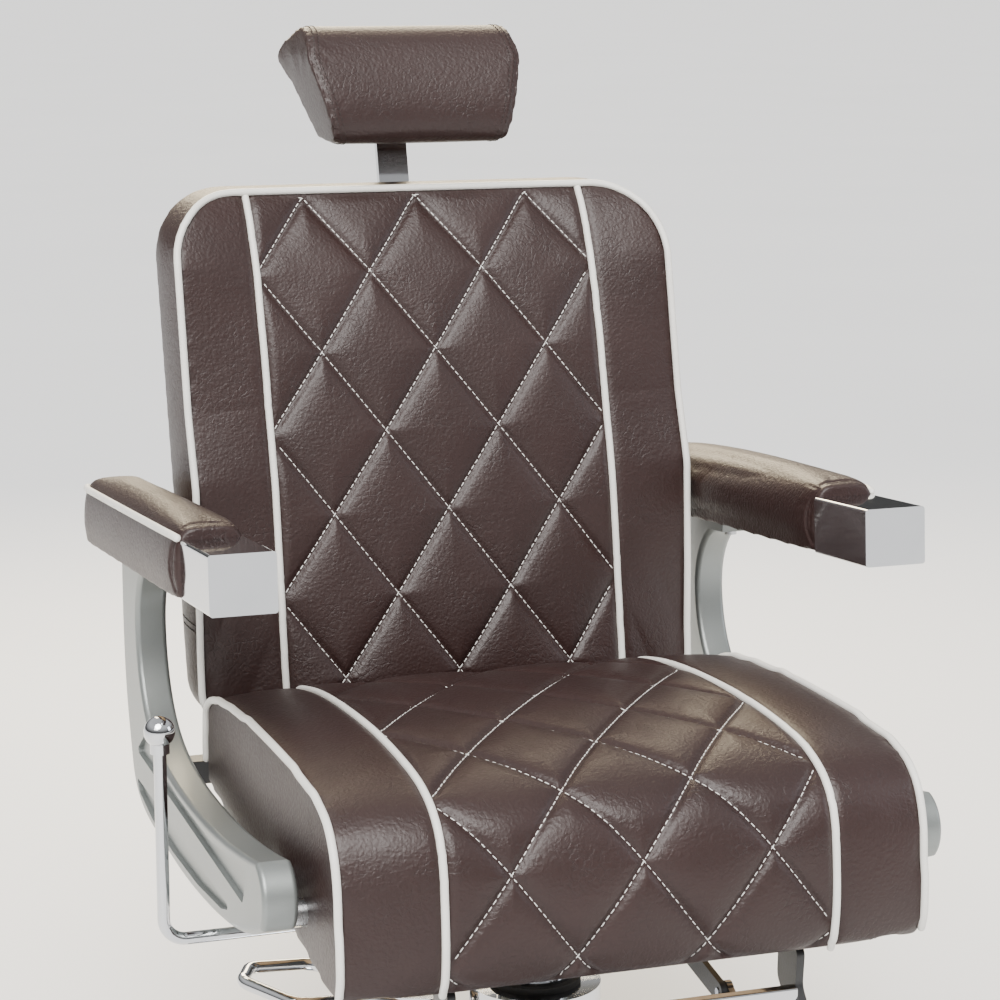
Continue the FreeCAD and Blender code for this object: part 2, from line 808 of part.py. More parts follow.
def make_arm_screws():
    """Screw up through the front of the cast flange into the arm board."""
    y = arm_screw_y
    x = (arm_in_x + arm_out_x) / 2
    flange_low = arm_underside(y) - arm_flange_t
    head = rod_z(x, y, 6.5, flange_low - 4.5, flange_low - 0.5)
    stem = rod_z(x, y, arm_screw_r - PIN_FIT, flange_low - 0.5, arm_underside(y) + arm_board_t - 3)
    return [fuse([head, stem])]


def make_arm_bolts():
    """Spacers and bolts that hold the cast frames on the seat frame."""
    pieces = []
    for i, (y, z) in enumerate(arm_bolt_places):
        inner = side_plate_x + side_plate_t / 2 if i < 2 else rear_tube_half_x
        spacer = rod_x(y, z, arm_spacer_r if i < 2 else 11.0, inner, arm_in_x)
        stem_in = inner - 14 if i < 2 else inner - 1
        stem = rod_x(y, z, arm_bolt_r - PIN_FIT, stem_in, arm_out_x - 14)
        head = rod_x(y, z, 9, inner - 14 - 6, inner - side_plate_t) if i < 2 else stem
        pieces.append(fuse([spacer, stem, head]))
    return pieces


# ================================================================ back
def back_y(z, depth):
    """y of a plane that many millimetres behind the front plane of the back."""
    return back_plane_y + (z - back_plane_z) * math.tan(lean) + depth / math.cos(lean)


def back_slab(depth0, depth1, z0, z1, x0, x1):
    """Block between two leaning planes and two levels."""
    corners = [(back_y(z0, depth0), z0), (back_y(z0, depth1), z0)]
    corners += [(back_y(z1, depth1), z1), (back_y(z1, depth0), z1)]
    return slab_x(sharp(corners), x0, x1)


def back_front_view(half_w, low, high, corner_r, foot_r):
    """Rounded outline seen from the front, extruded through the whole depth."""
    corners = [(-half_w, low, foot_r), (half_w, low, foot_r)]
    corners += [(half_w, high, corner_r), (-half_w, high, corner_r)]
    face = outline(corners, xz)
    return face.extrude(V(0, 700, 0))


def make_back_cushion():
    """Foam and cover of the back: curved front, rounded corners, open behind its board."""
    front = [(219, back_low_z), (234, 550), (249, 613), (270, 697), (291, 780), (313, 862)]
    front += [(343, 943), (378, 1005)]
    top = [(392, 1020), (408, back_top_z), (436, back_top_z - 2), (454, 1010)]
    rear = [(back_y(z, back_t), z) for z in (back_board_top_z, back_low_z)]
    side_view = slab_x(sharp(front + top + rear), -back_half_w, back_half_w)
    view = (back_half_w, back_low_z, back_top_z, back_corner_r, back_foot_corner_r)
    body = side_view.common(back_front_view(*view))
    reach = back_half_w - back_wall
    low = back_low_z + 12
    high = rear_panel_top_z + SEAM_GAP
    room = back_slab(foam_t, back_t + 30, low, high, -reach, reach)
    room = room.common(back_front_view(reach, low, high, back_corner_r - 20, 8))
    gates = []
    half = bracket_flange_w / 2 + 6
    ways = [(bracket_x - 18, half), (-bracket_x + 18, half), (crank_x, 12), (gas_crank_x, 12)]
    for x, half in ways:
        gates.append(back_slab(foam_t, back_t + 30, low - 14, low + 2, x - half, x + half))
    return cut(body, [room] + gates)


def make_back_board():
    reach = back_half_w - back_wall - 1
    board = back_slab(foam_t, foam_t + board_t, back_low_z + 14, back_board_top_z, -reach, reach)
    view = (reach, back_low_z + 14, back_board_top_z, back_corner_r - 20, 8)
    return cut(board.common(back_front_view(*view)), bracket_screw_holes())


def make_rear_panel():
    reach = back_half_w - back_wall - SEAM_GAP
    low = back_low_z + 14
    panel = back_slab(back_t - rear_panel_t, back_t, low, rear_panel_top_z, -reach, reach)
    return panel.common(back_front_view(reach, low, rear_panel_top_z, back_corner_r - 20, 8))


def make_hinge_bracket():
    """Angle bracket: flange on the board, web running down to the hinge pin."""
    board_back = foam_t + board_t
    x0 = bracket_x - bracket_t / 2
    x1 = bracket_x + bracket_t / 2
    web_back = board_back + bracket_depth
    z = back_low_z + 4
    web = back_slab(board_back, web_back, z, bracket_top_z, x0, x1)
    flange_back = board_back + bracket_flange_t
    flange_in = x1 - bracket_flange_w
    flange = back_slab(board_back, flange_back, back_low_z + 16, bracket_top_z, flange_in, x1)
    off = bracket_r * math.sin(math.pi / 4)
    low = [(hinge_y - bracket_r, hinge_z), (hinge_y + off, hinge_z - off)]
    neck = slab_x(sharp(low + [(back_y(z, web_back), z), (back_y(z, board_back), z)]), x0, x1)
    eye = rod_x(hinge_y, hinge_z, bracket_r, x0, x1)
    hole = rod_x(hinge_y, hinge_z, hinge_pin_r + PIN_FIT, x0 - 1, x1 + 1)
    return cut(fuse([web, flange, neck, eye]), [hole] + bracket_screw_holes())


def make_hinge_pins():
    """Shoulder pins pressed in the seat's ears."""
    x0 = ear_x - ear_t / 2 - 4
    x1 = bracket_x + bracket_t / 2 + 2
    shank = rod_x(hinge_y, hinge_z, hinge_pin_r, x0 + 4, x1)
    head = rod_x(hinge_y, hinge_z, hinge_pin_r + 4, x0, x0 + 4)
    clip = rod_x(hinge_y, hinge_z, hinge_pin_r + 3, x1, x1 + 2)
    return fuse([shank, head, clip])


def make_crank(x, offset, eye_r, pin_r, pin_x0, pin_x1):
    """Plate from the back's board down past the hinge line, with its crank pin."""
    board_back = foam_t + board_t
    web_back = board_back + bracket_depth
    x0 = x - link_t / 2
    x1 = x + link_t / 2
    z = back_low_z + 4
    top = back_low_z + crank_foot_h
    foot = back_slab(board_back, web_back, z, top, x0, x1)
    toe = back_slab(board_back, board_back + 4, back_low_z + 16, top, x1 - crank_toe_w, x1)
    end = (hinge_y + offset[0], hinge_z + offset[1])
    low = [(hinge_y - crank_r, hinge_z), (hinge_y + crank_r, hinge_z - 6)]
    upper = slab_x(sharp(low + [(back_y(z, web_back), z), (back_y(z, board_back), z)]), x0, x1)
    lower = link_plate(((hinge_y, hinge_z), end), crank_r, x0, x1)
    eye = rod_x(end[0], end[1], eye_r, x0, x1)
    pin = rod_x(end[0], end[1], pin_r, pin_x0, pin_x1)
    return fuse([foot, toe, upper, lower, eye, pin])


def make_link_crank():
    outer = crank_x + link_t / 2
    inner = link_x - link_t / 2 - SIDE_GAP
    return make_crank(crank_x, link_crank, 10.0, link_pin_r, inner, outer)


def make_gas_crank():
    inner = gas_crank_x - link_t / 2
    outer = gas_x + gas_eye_t / 2 + 2
    return make_crank(gas_crank_x, gas_crank, 9.0, gas_pin_r, inner, outer)


def bracket_screw_starts():
    depth = foam_t + board_t + bracket_flange_t
    sides = (bracket_x - 22, -bracket_x + 22)
    return [V(x, back_y(z, depth), z) for x in sides for z in (540.0, 600.0, 660.0)]


def bracket_screw_holes():
    along = V(0, -math.cos(lean), math.sin(lean))
    starts = bracket_screw_starts()
    return [Part.makeCylinder(bracket_screw_r, board_t + 4, spot, along) for spot in starts]


def make_bracket_screws():
    """Screws that hold the hinge brackets on the back's board."""
    screws = []
    along = V(0, math.cos(lean), -math.sin(lean))
    for start in bracket_screw_starts():
        head = Part.makeCylinder(6, 3.5, start, along)
        stem = Part.makeCylinder(bracket_screw_r - PIN_FIT, board_t + 3, start, along * -1)
        screws.append(fuse([head, stem]))
    return screws


# ================================================================ head-rest
def post_depths():
    """Depth of the post's front and rear faces behind the back's front plane."""
    near = back_t + SIDE_GAP
    return near, near + post_t


def post_centre(z):
    return back_y(z, back_t + SIDE_GAP + post_t / 2)


def socket_back():
    """Depth of the socket's outer face."""
    return back_t + SIDE_GAP + post_t + POST_GAP + socket_wall


def make_socket():
    """Channel on the rear of the back that guides the flat post."""
    near, far = post_depths()
    half = socket_half_w
    outer = back_slab(back_t, socket_back(), socket_low_z, socket_high_z, -half, half)
    reach = post_half_w + POST_GAP
    low = socket_low_z - 20
    way = back_slab(near - POST_GAP, far + POST_GAP, low, socket_high_z + 20, -reach, reach)
    channel = cut(outer, [way])
    wings = []
    for side in (-1, 1):
        x0 = side * (socket_half_w + 9) - 9
        wings.append(back_slab(back_t, back_t + 4, socket_low_z + 10, socket_high_z - 10, x0, x0 + 18))
    boss_start = V(0, back_y(knob_z, socket_back()), knob_z)
    along = V(0, math.cos(lean), -math.sin(lean))
    boss = Part.makeCylinder(11, 8, boss_start, along)
    body = fuse([channel, boss] + wings)
    hole = Part.makeCylinder(knob_screw_r + PIN_FIT, 40, boss_start - along * (socket_wall + 1), along)
    return body.cut(hole)


def make_socket_screws():
    screws = []
    along = V(0, math.cos(lean), -math.sin(lean))
    for side in (-1, 1):
        for z in (socket_low_z + 28, socket_high_z - 28):
            start = V(side * (socket_half_w + 9), back_y(z, back_t + 4), z)
            screws.append(Part.makeCylinder(5.5, 3, start, along))
    return screws


def make_clamp_knob():
    """Five-lobed knob with the screw that locks the post."""
    along = V(0, math.cos(lean), -math.sin(lean))
    start = V(0, back_y(knob_z, socket_back()), knob_z)
    tip = start - along * (socket_wall + 0.1)
    face = start + along * 9
    core_r = knob_r - knob_lobe_r
    screw = Part.makeCylinder(knob_screw_r, face.distanceToPoint(tip) + 4, tip, along)
    lobes = [Part.makeCylinder(core_r, knob_t, face, along)]
    side = V(1, 0, 0)
    up = along.cross(side)
    for i in range(5):
        turn = 2 * math.pi * i / 5
        centre = face + side * (core_r * math.cos(turn)) + up * (core_r * math.sin(turn))
        lobes.append(Part.makeCylinder(knob_lobe_r, knob_t, centre, along))
    return fuse([screw] + lobes)


def make_post():
    near, far = post_depths()
    bar = back_slab(near, far, post_foot_z, post_head_z, -post_half_w, post_half_w)
    centre = post_centre(post_head_z)
    z = post_head_z - 6
    corners = [(centre - 4.5, z), (centre + 4.5, z), (tilt_y + 7, tilt_z), (tilt_y - 7, tilt_z)]
    neck = slab_x(sharp(corners), -post_half_w, post_half_w)
    hub = rod_x(tilt_y, tilt_z, tilt_hub_r, -post_half_w, post_half_w)
    hole = rod_x(tilt_y, tilt_z, tilt_pin_r + PIN_FIT, -post_half_w - 1, post_half_w + 1)
    return fuse([bar, neck, hub]).cut(hole)


def head_rear_line():
    """Two points of the flat on the pad's back where the plate sits."""
    return (438.0, 1086.0), (478.0, 1131.0)


def make_head_pad():
    """Leaning wedge: thick roll above, hollow face, thin lower lip."""
    (ya, za), (yb, zb) = head_rear_line()
    face = [(354, 1094), (357, 1116), (370, 1146), (388, 1176), (407, 1192), (434, 1197), (470, 1188)]
    roll = [(500, 1176), (516, 1164), (512, 1152), (yb + 14, zb + 9), (yb, zb), (ya, za), (425, 1077)]
    lip = [(385, 1073), (364, 1076)]
    body = slab_x(sharp(face + roll + lip), -head_half_w, head_half_w)
    foot, half = head_foot_half_w - 3, head_half_w
    side = [(foot, 1060), (half, 1165), (half - 10, 1210)]
    corners = [(-x, z) for x, z in reversed(side)] + side
    view = outline(sharp(corners), xz).extrude(V(0, 700, 0))
    return body.common(view)


def make_head_plate():
    """Steel plate on the pad with two ears for the tilt pin."""
    (ya, za), (yb, zb) = head_rear_line()
    along = V(0, yb - ya, zb - za).normalize()
    out = V(0, along.z, -along.y)
    start = V(0, ya, za) + along * 6 + out * 0.05
    stop = V(0, yb, zb) - along * 4 + out * 0.05
    t = out * head_plate_t
    points = [start, stop, stop + t, start + t]
    plate = slab_x(sharp([(p.y, p.z) for p in points]), -head_plate_half_w, head_plate_half_w)
    pieces = [plate]
    for side in (-1, 1):
        x0 = side * (post_half_w + SIDE_GAP + head_ear_t / 2) - head_ear_t / 2
        root = (start + stop) * 0.5 + out * (head_plate_t - 0.5)
        a = root - along * 14
        b = root + along * 14
        corners = [(a.y, a.z), (b.y, b.z), (tilt_y + 8, tilt_z + 3), (tilt_y - 4, tilt_z - 8)]
        body = slab_x(sharp(corners), x0, x0 + head_ear_t)
        eye = rod_x(tilt_y, tilt_z, 9, x0, x0 + head_ear_t)
        pieces += [body, eye]
    hole = rod_x(tilt_y, tilt_z, tilt_pin_r, -60, 60)
    return fuse(pieces).cut(hole)


def make_tilt_pin():
    half = post_half_w + SIDE_GAP + head_ear_t
    shank = rod_x(tilt_y, tilt_z, tilt_pin_r, -half, half)
    head = rod_x(tilt_y, tilt_z, tilt_pin_r + 3, half, half + 3)
    nut = rod_x(tilt_y, tilt_z, tilt_pin_r + 3, -half - 4, -half)
    return fuse([shank, head, nut])


def make_head_screws():
    (ya, za), (yb, zb) = head_rear_line()
    along = V(0, yb - ya, zb - za).normalize()
    out = V(0, along.z, -along.y)
    screws = []
    for x in (-42.0, 42.0):
        for share in (16.0, 42.0):
            spot = V(x, ya, za) + along * share + out * (head_plate_t + 0.05)
            screws.append(Part.makeCylinder(5, 2.5, spot, out))
    return Part.makeCompound(screws)


# ================================================================ lever and gas spring
def make_lever_rod():
    knee = V(lever_x, lever_y, lever_z)
    points = [V(lever_x, lever_y, lever_ball_z - 6), knee, V(lever_in_x, lever_y, lever_z)]
    return bent_rod(points, lever_r, [lever_bend_r])


def make_lever_ball():
    ball = Part.makeSphere(lever_ball_r, V(lever_x, lever_y, lever_ball_z))
    collar = rod_z(lever_x, lever_y, lever_r + 3, lever_ball_z - lever_ball_r - 6, lever_ball_z - 8)
    hole = rod_z(lever_x, lever_y, lever_r, lever_ball_z - 40, lever_ball_z - 6)
    return fuse([ball, collar]).cut(hole)


def make_lever_brackets():
    """Two hangers under the seat frame that carry the lever's shaft."""
    pieces = []
    t = lever_bracket_t / 2
    y, top, r = lever_y, board_z, lever_bracket_r
    corners = sharp([(y - r, lever_z), (y + r, lever_z), (y + 20, top), (y - 20, top)])
    for x in lever_bracket_x:
        body = slab_x(corners, x - t, x + t)
        eye = rod_x(y, lever_z, r, x - t, x + t)
        foot = box(x - t, x + 14, y - 20, y + 20, top - 4, top)
        hole = rod_x(lever_y, lever_z, bush_r, x - t - 1, x + t + 1)
        pieces.append(fuse([body, eye, foot]).cut(hole))
    return Part.makeCompound(pieces)


def make_lever_bushes():
    pieces = []
    t = lever_bracket_t / 2
    for x in lever_bracket_x:
        body = rod_x(lever_y, lever_z, bush_r, x - t, x + t)
        rim = rod_x(lever_y, lever_z, bush_r + 2, x - t - 2, x - t)
        hole = rod_x(lever_y, lever_z, lever_r + PIN_FIT, x - t - 3, x + t + 1)
        pieces.append(fuse([body, rim]).cut(hole))
    return Part.makeCompound(pieces)


def make_release_cam():
    """Finger on the lever's shaft that pushes the gas spring's valve."""
    x0 = gas_x - 4
    x1 = gas_x + 4
    hub = rod_x(lever_y, lever_z, 11, x0, x1)
    finger = link_plate(((lever_y, lever_z), (lever_y - 6, gas_z - 4)), 5.0, x0, x1)
    hole = rod_x(lever_y, lever_z, lever_r, x0 - 1, x1 + 1)
    return fuse([hub, finger]).cut(hole)


def gas_ends():
    """Front pivot, and the middle of the rear eye, which sits a little off its pin."""
    pin = V(0, hinge_y + gas_crank[0], hinge_z + gas_crank[1])
    return V(0, gas_y, gas_z), pin + V(0, -gas_sag / 3, -gas_sag)


def gas_direction():
    front, rear = gas_ends()
    return (rear - front).normalize()


def make_gas_cylinder():
    front, rear = gas_ends()
    along = gas_direction()
    start = front + V(gas_x, 0, 0)
    body = Part.makeCylinder(gas_r, gas_len - 14, start + along * 14, along)
    neck = Part.makeCylinder(6, 16, start, along)
    eye = rod_x(gas_y, gas_z, 9, gas_x - 5, gas_x + 5)
    valve = Part.makeCylinder(gas_valve_r, 16, start, V(0, -1, 0))
    room = Part.makeCylinder(gas_rod_r + 3, gas_len - 14 - 30, start + along * 26, along)
    mouth = Part.makeCylinder(gas_rod_r + PIN_FIT, 60, start + along * (gas_len - 50), along)
    hole = rod_x(gas_y, gas_z, gas_pin_r + PIN_FIT, gas_x - 9, gas_x + 9)
    return cut(fuse([body, neck, eye, valve]), [room, mouth, hole])


def make_gas_rod():
    front, rear = gas_ends()
    along = gas_direction()
    reach = (rear - front).Length
    start = front + V(gas_x, 0, 0)
    stem = Part.makeCylinder(gas_rod_r, reach - 66 - gas_eye_r + 3, start + along * 66, along)
    piston = Part.makeCylinder(gas_rod_r + 2.9, 8, start + along * 60, along)
    eye = rod_x(rear.y, rear.z, gas_eye_r, gas_x - gas_eye_t / 2, gas_x + gas_eye_t / 2)
    hole = rod_x(rear.y, rear.z, gas_eye_bore_r, gas_x - 20, gas_x + 20)
    return fuse([stem, piston, eye]).cut(hole)


def make_gas_bracket():
    """Clevis under the seat board that holds the gas spring's front eye."""
    pieces = []
    y, top = gas_y, board_z
    corners = sharp([(y - 9, gas_z), (y + 9, gas_z), (y + 16, top), (y - 16, top)])
    for side in (-1, 1):
        x0 = gas_x + side * 8.5 - 2.5
        pieces += [slab_x(corners, x0, x0 + 5), rod_x(y, gas_z, 9, x0, x0 + 5)]
    pieces.append(box(gas_x - 11, gas_x + 11, y - 16, y + 16, top - 4, top))
    hole = rod_x(gas_y, gas_z, gas_pin_r, gas_x - 20, gas_x + 20)
    return fuse(pieces).cut(hole)


def make_gas_pin():
    shank = rod_x(gas_y, gas_z, gas_pin_r, gas_x - 11, gas_x + 11)
    head = rod_x(gas_y, gas_z, gas_pin_r + 3, gas_x - 14, gas_x - 11)
    return fuse([shank, head])


# ================================================================ foot-rest
def make_foot_arm():
    """Dog-leg side plate from the pivot down and forward to the tray."""
    x0 = foot_arm_x - foot_arm_t / 2
    x1 = foot_arm_x + foot_arm_t / 2
    front = [(foot_y - 15, foot_z + 3, 0), (-256, 362, 8), (-253, 330, 14), (-282, 296, 24)]
    tip = [(tray_y + 24, tray_z + 34, 24), (tray_y - 34, tray_z + 24, 8)]
    tip += [(tray_y - 36, tray_z + 9, 0), (tray_y + 6, tray_z + 2, 6), (tray_y + 56, tray_z + 14, 24)]
    rear = [(-262, 276, 18), (-213, 328, 14), (-214, 352, 8), (foot_y + 15, foot_z - 2, 0)]
    body = slab_x(front + tip + rear, x0, x1)
    eye = rod_x(foot_y, foot_z, foot_arm_eye_r, x0, x1)
    hole = rod_x(foot_y, foot_z, foot_pin_r + PIN_FIT, x0 - 1, x1 + 1)
    return cut(fuse([body, eye]), [hole] + [on_tray(bore) for bore in tray_bolt_holes()])


def make_foot_pins():
    x0 = foot_arm_x - foot_arm_t / 2 - 3
    x1 = foot_ear_x + foot_ear_t / 2
    shank = rod_x(foot_y, foot_z, foot_pin_r, x0, x1)
    head = rod_x(foot_y, foot_z, foot_pin_r + 3, x1, x1 + 3)
    clip = rod_x(foot_y, foot_z, foot_pin_r + 2.5, x0 - 1.5, x0)
    return fuse([shank, head, clip])


def make_crossbar():
    half = foot_arm_x - foot_arm_t / 2
    y0 = crossbar_front_y
    bar = slab_x([(y0, crossbar_low_z, 2), (y0 + crossbar_t, crossbar_low_z, 2),
                  (y0 + crossbar_t, crossbar_top_z, 2), (y0, crossbar_top_z, 2)], -half, half)
    return bar


def link_front():
    return (foot_y + link_crank[0], foot_z + link_crank[1])


def link_rear():
    return (hinge_y + link_crank[0], hinge_z + link_crank[1])


def make_link_lug():
    """Plate behind the cross-bar that carries the link's front pin."""
    y, z = link_front()
    x0 = crank_x - link_t / 2
    x1 = crank_x + link_t / 2
    root = crossbar_front_y + crossbar_t
    plate = slab_x(sharp([(root, z - 14), (y, z - 10), (y, z + 10), (root, crossbar_top_z - 3)]), x0, x1)
    eye = rod_x(y, z, 10, x0, x1)
    pin = rod_x(y, z, link_pin_r, link_x - link_t / 2 - SIDE_GAP, x1)
    return fuse([plate, eye, pin])


def make_link():
    x0 = link_x - link_t / 2
    x1 = link_x + link_t / 2
    bar = link_plate((link_front(), link_rear()), link_h / 2, x0, x1)
    rear = link_rear()
    front = link_front()
    hole = rod_x(rear[0], rear[1], link_pin_r + PIN_FIT, x0 - 1, x1 + 1)
    open_hole = rod_x(front[0], front[1], link_open_bore_r, x0 - 1, x1 + 1)
    return cut(bar, [hole, open_hole])


def on_tray(shape):
    shape.rotate(V(0, 0, 0), V(1, 0, 0), -math.degrees(tray_tilt))
    shape.translate(V(0, tray_y, tray_z))
    return shape


def make_tray():
    """Foot plate with turned-up sides that bolt to the arms."""
    half = foot_arm_x - foot_arm_t / 2
    plate = box(-half, half, -tray_depth, 0, 0, tray_t)
    a, b = -tray_depth, -tray_depth + 6
    lip = slab_x([(a, 0, 0), (b, 0, 0), (b, 18, 2.5), (a, 18, 2.5)], -half, half)
    sides = []
    for side in (-1, 1):
        x0 = side * (half - 3) - 3
        sides.append(box(x0, x0 + 6, -44, 0, 0, tray_flange_h))
    return on_tray(cut(fuse([plate, lip] + sides), tray_bolt_holes()))


def tray_bolt_holes():
    """Holes through the tray's sides, in the tray's own level frame."""
    reach = foot_arm_x + foot_arm_t
    return [rod_x(y, tray_bolt_z, tray_bolt_r, -reach, reach) for y in tray_bolt_y]


def make_mat():
    """Ribbed rubber mat on the foot plate."""
    a = tray_half_w
    y0 = -tray_depth + 9
    corners = [(-a, y0, 6), (a, y0, 6), (a, -8, 6), (-a, -8, 6)]
    sheet = slab_z(corners, tray_t, tray_t + mat_t - 2)
    ribs = []
    y = -tray_depth + 17
    while y < -14:
        ribs.append(box(-a + 8, a - 8, y - 2, y + 2, tray_t + mat_t - 2, tray_t + mat_t))
        y += 10
    return on_tray(fuse([sheet] + ribs))


def make_tray_bolts():
    pieces = []
    x1 = foot_arm_x + foot_arm_t / 2
    for y in tray_bolt_y:
        stem = rod_x(y, tray_bolt_z, tray_bolt_r - PIN_FIT, foot_arm_x - foot_arm_t / 2 - 6, x1)
        bolt = fuse([rod_x(y, tray_bolt_z, 7, x1, x1 + 4), stem])
        pieces += [bolt, mirrored(bolt)]
    return on_tray(Part.makeCompound(pieces))


# ================================================================ write every node
def main():
    save("base_plate", make_base_plate())
    save("base_cover", make_base_cover())
    save("neck_ring", make_neck_ring())
    save("pump_body", make_pump_body())
    save("pump_bolts", make_pump_bolts())
    save("pump_gland", make_gland())
    save("wiper_seal", make_wiper())
    save("pedal_ears", make_pedal_ears())
    save("pedal_pin", make_pedal_pin())
    save("pedal_hub", make_pedal_hub())
    save("pump_pedal", make_pedal_loop())
    save("pump_plunger", make_plunger())
    save("ram_tube", make_ram_tube())
    save("ram_flange", make_ram_flange())
    save("thrust_washer", make_thrust_washer())
    save("swivel_plate", make_swivel_plate())
    save("swivel_spindle", make_swivel_spindle())
    save("swivel_bolts", make_swivel_bolts())
    save("seat_frame", make_seat_frame())
    save("seat_board", make_seat_board())
    save("seat_cushion", make_seat_cushion())
    for name, make in (("arm_frame", make_arm_frame), ("arm_board", make_arm_board),
                       ("arm_pad", make_arm_pad), ("arm_cap", make_arm_cap)):
        piece = make()
        save(name + "_left", piece)
        save(name + "_right", mirrored(piece))
    bolts = make_arm_bolts() + make_arm_screws()
    save("arm_fasteners", Part.makeCompound(bolts + [mirrored(b) for b in bolts]))
    save("back_hinge_pins", both_sides(make_hinge_pins()))
    save("gas_bracket", Part.makeCompound([make_gas_bracket(), make_gas_pin()]))
    save("lever_brackets", make_lever_brackets())
    save("lever_bushes", make_lever_bushes())
    save("footrest_pins", both_sides(make_foot_pins()))
    save("back_board", make_back_board())
    save("back_cushion", make_back_cushion())
    save("back_rear_panel", make_rear_panel())
    bracket = make_hinge_bracket()
    save("back_bracket_left", bracket)
    save("back_bracket_right", mirrored(bracket))
    save("back_cranks", Part.makeCompound([make_link_crank(), make_gas_crank()]))
    save("headrest_socket", make_socket())
    save("back_screws", Part.makeCompound(make_bracket_screws() + make_socket_screws()))
    save("clamp_knob", make_clamp_knob())
    save("headrest_post", make_post())
    save("headrest_pad", make_head_pad())
    save("headrest_plate", make_head_plate())
    save("headrest_tilt_pin", make_tilt_pin())
    save("headrest_screws", make_head_screws())
    save("lever_rod", make_lever_rod())
    save("lever_ball", make_lever_ball())
    save("release_cam", make_release_cam())
    save("gas_cylinder", make_gas_cylinder())
    save("gas_rod", make_gas_rod())
    arm = make_foot_arm()
    save("footrest_arms", both_sides(arm))
    save("footrest_crossbar", make_crossbar().fuse(make_link_lug()))
    save("footrest_link", make_link())
    save("foot_tray", make_tray())
    save("foot_mat", make_mat())
    save("tray_bolts", make_tray_bolts())


main()
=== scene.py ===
import json
import math
import bpy
import numpy as np
from mathutils import Matrix, Vector
from mathutils.bvhtree import BVHTree


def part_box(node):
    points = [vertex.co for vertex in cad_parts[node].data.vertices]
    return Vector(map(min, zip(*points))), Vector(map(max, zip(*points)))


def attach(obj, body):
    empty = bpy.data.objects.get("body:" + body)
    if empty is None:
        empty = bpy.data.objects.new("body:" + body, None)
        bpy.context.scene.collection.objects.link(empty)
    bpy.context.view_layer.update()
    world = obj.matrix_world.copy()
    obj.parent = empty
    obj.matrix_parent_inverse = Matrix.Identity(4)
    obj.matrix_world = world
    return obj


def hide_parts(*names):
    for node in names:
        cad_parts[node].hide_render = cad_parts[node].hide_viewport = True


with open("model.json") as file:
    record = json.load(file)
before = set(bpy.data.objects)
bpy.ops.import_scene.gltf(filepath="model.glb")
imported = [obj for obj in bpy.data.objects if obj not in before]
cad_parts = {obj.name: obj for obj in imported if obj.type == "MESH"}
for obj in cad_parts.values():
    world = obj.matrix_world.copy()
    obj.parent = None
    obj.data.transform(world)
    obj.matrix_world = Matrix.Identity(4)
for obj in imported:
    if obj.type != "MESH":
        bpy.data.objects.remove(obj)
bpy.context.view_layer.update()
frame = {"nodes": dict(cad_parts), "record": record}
scene = bpy.context.scene


# shader maths written as expressions
class Wire:
    def __init__(self, net, socket):
        self.net = net
        self.socket = socket

    def math(self, operation, other, swap=False):
        pair = [other, self] if swap else [self, other]
        return self.net.add("Math", {"operation": operation}, pair)

    def __add__(self, other):
        return self.math("ADD", other)

    def __radd__(self, other):
        return self.math("ADD", other)

    def __sub__(self, other):
        return self.math("SUBTRACT", other)

    def __rsub__(self, other):
        return self.math("SUBTRACT", other, swap=True)

    def __mul__(self, other):
        return self.math("MULTIPLY", other)

    def __rmul__(self, other):
        return self.math("MULTIPLY", other)


class Net:
    def __init__(self, name, world=False):
        self.material = bpy.data.worlds.new(name) if world else bpy.data.materials.new(name)
        self.material.use_nodes = True
        self.nodes = self.material.node_tree.nodes
        self.links = self.material.node_tree.links
        self.shader = self.nodes["Background" if world else "Principled BSDF"]
        self.place = self.add("TexCoord", {}, {}, "Generated" if world else "Object")

    # any node: its settings first, then the values or links of its sockets
    def add(self, kind, settings, sockets=(), output=0):
        node = self.nodes.new("ShaderNode" + kind)
        stops = settings.pop("stops", None)
        for key, value in settings.items():
            setattr(node, key, value)
        if stops:
            ramp = node.color_ramp
            while len(ramp.elements) < len(stops):
                ramp.elements.new(0.5)
            for element, (at, shade) in zip(ramp.elements, stops):
                element.position = at
                element.color = (*shade, 1) if isinstance(shade, tuple) else (shade, shade, shade, 1)
        pairs = sockets.items() if isinstance(sockets, dict) else enumerate(sockets)
        for key, value in pairs:
            self.feed(node.inputs[key], value)
        return Wire(self, node.outputs[output])

    def feed(self, socket, value):
        if isinstance(value, Wire):
            self.links.new(value.socket, socket)
        elif isinstance(value, tuple) and len(value) == 3 and socket.type == "RGBA":
            socket.default_value = (*value, 1)
        else:
            socket.default_value = value

    def noise(self, scale, detail=3.0, rough=0.55, warp=0.0, stretch=None):
        where = self.place
        if stretch:
            where = self.add("Mapping", {}, {"Vector": where, "Scale": stretch})
        sockets = {"Vector": where, "Scale": scale, "Detail": detail, "Roughness": rough, "Distortion": warp}
        return self.add("TexNoise", {}, sockets, "Fac")

    def cells(self, scale, feature="F1", where=None):
        sockets = {"Vector": where or self.place, "Scale": scale}
        return self.add("TexVoronoi", {"feature": feature}, sockets, "Distance")

    def ramp(self, value, stops):
        return self.add("ValToRGB", {"stops": stops}, [value])

    def mix(self, amount, first, second):
        return self.add("Mix", {"data_type": "RGBA"}, {0: amount, 6: first, 7: second}, 2)

    def bump(self, height, depth, strength=1.0, under=None):
        sockets = {"Height": height, "Distance": depth, "Strength": strength}
        if under is not None:
            sockets["Normal"] = under
        return self.add("Bump", {}, sockets)

    def set(self, **values):
        for key, value in values.items():
            self.feed(self.shader.inputs[key.replace("_", " ")], value)
        return self.material


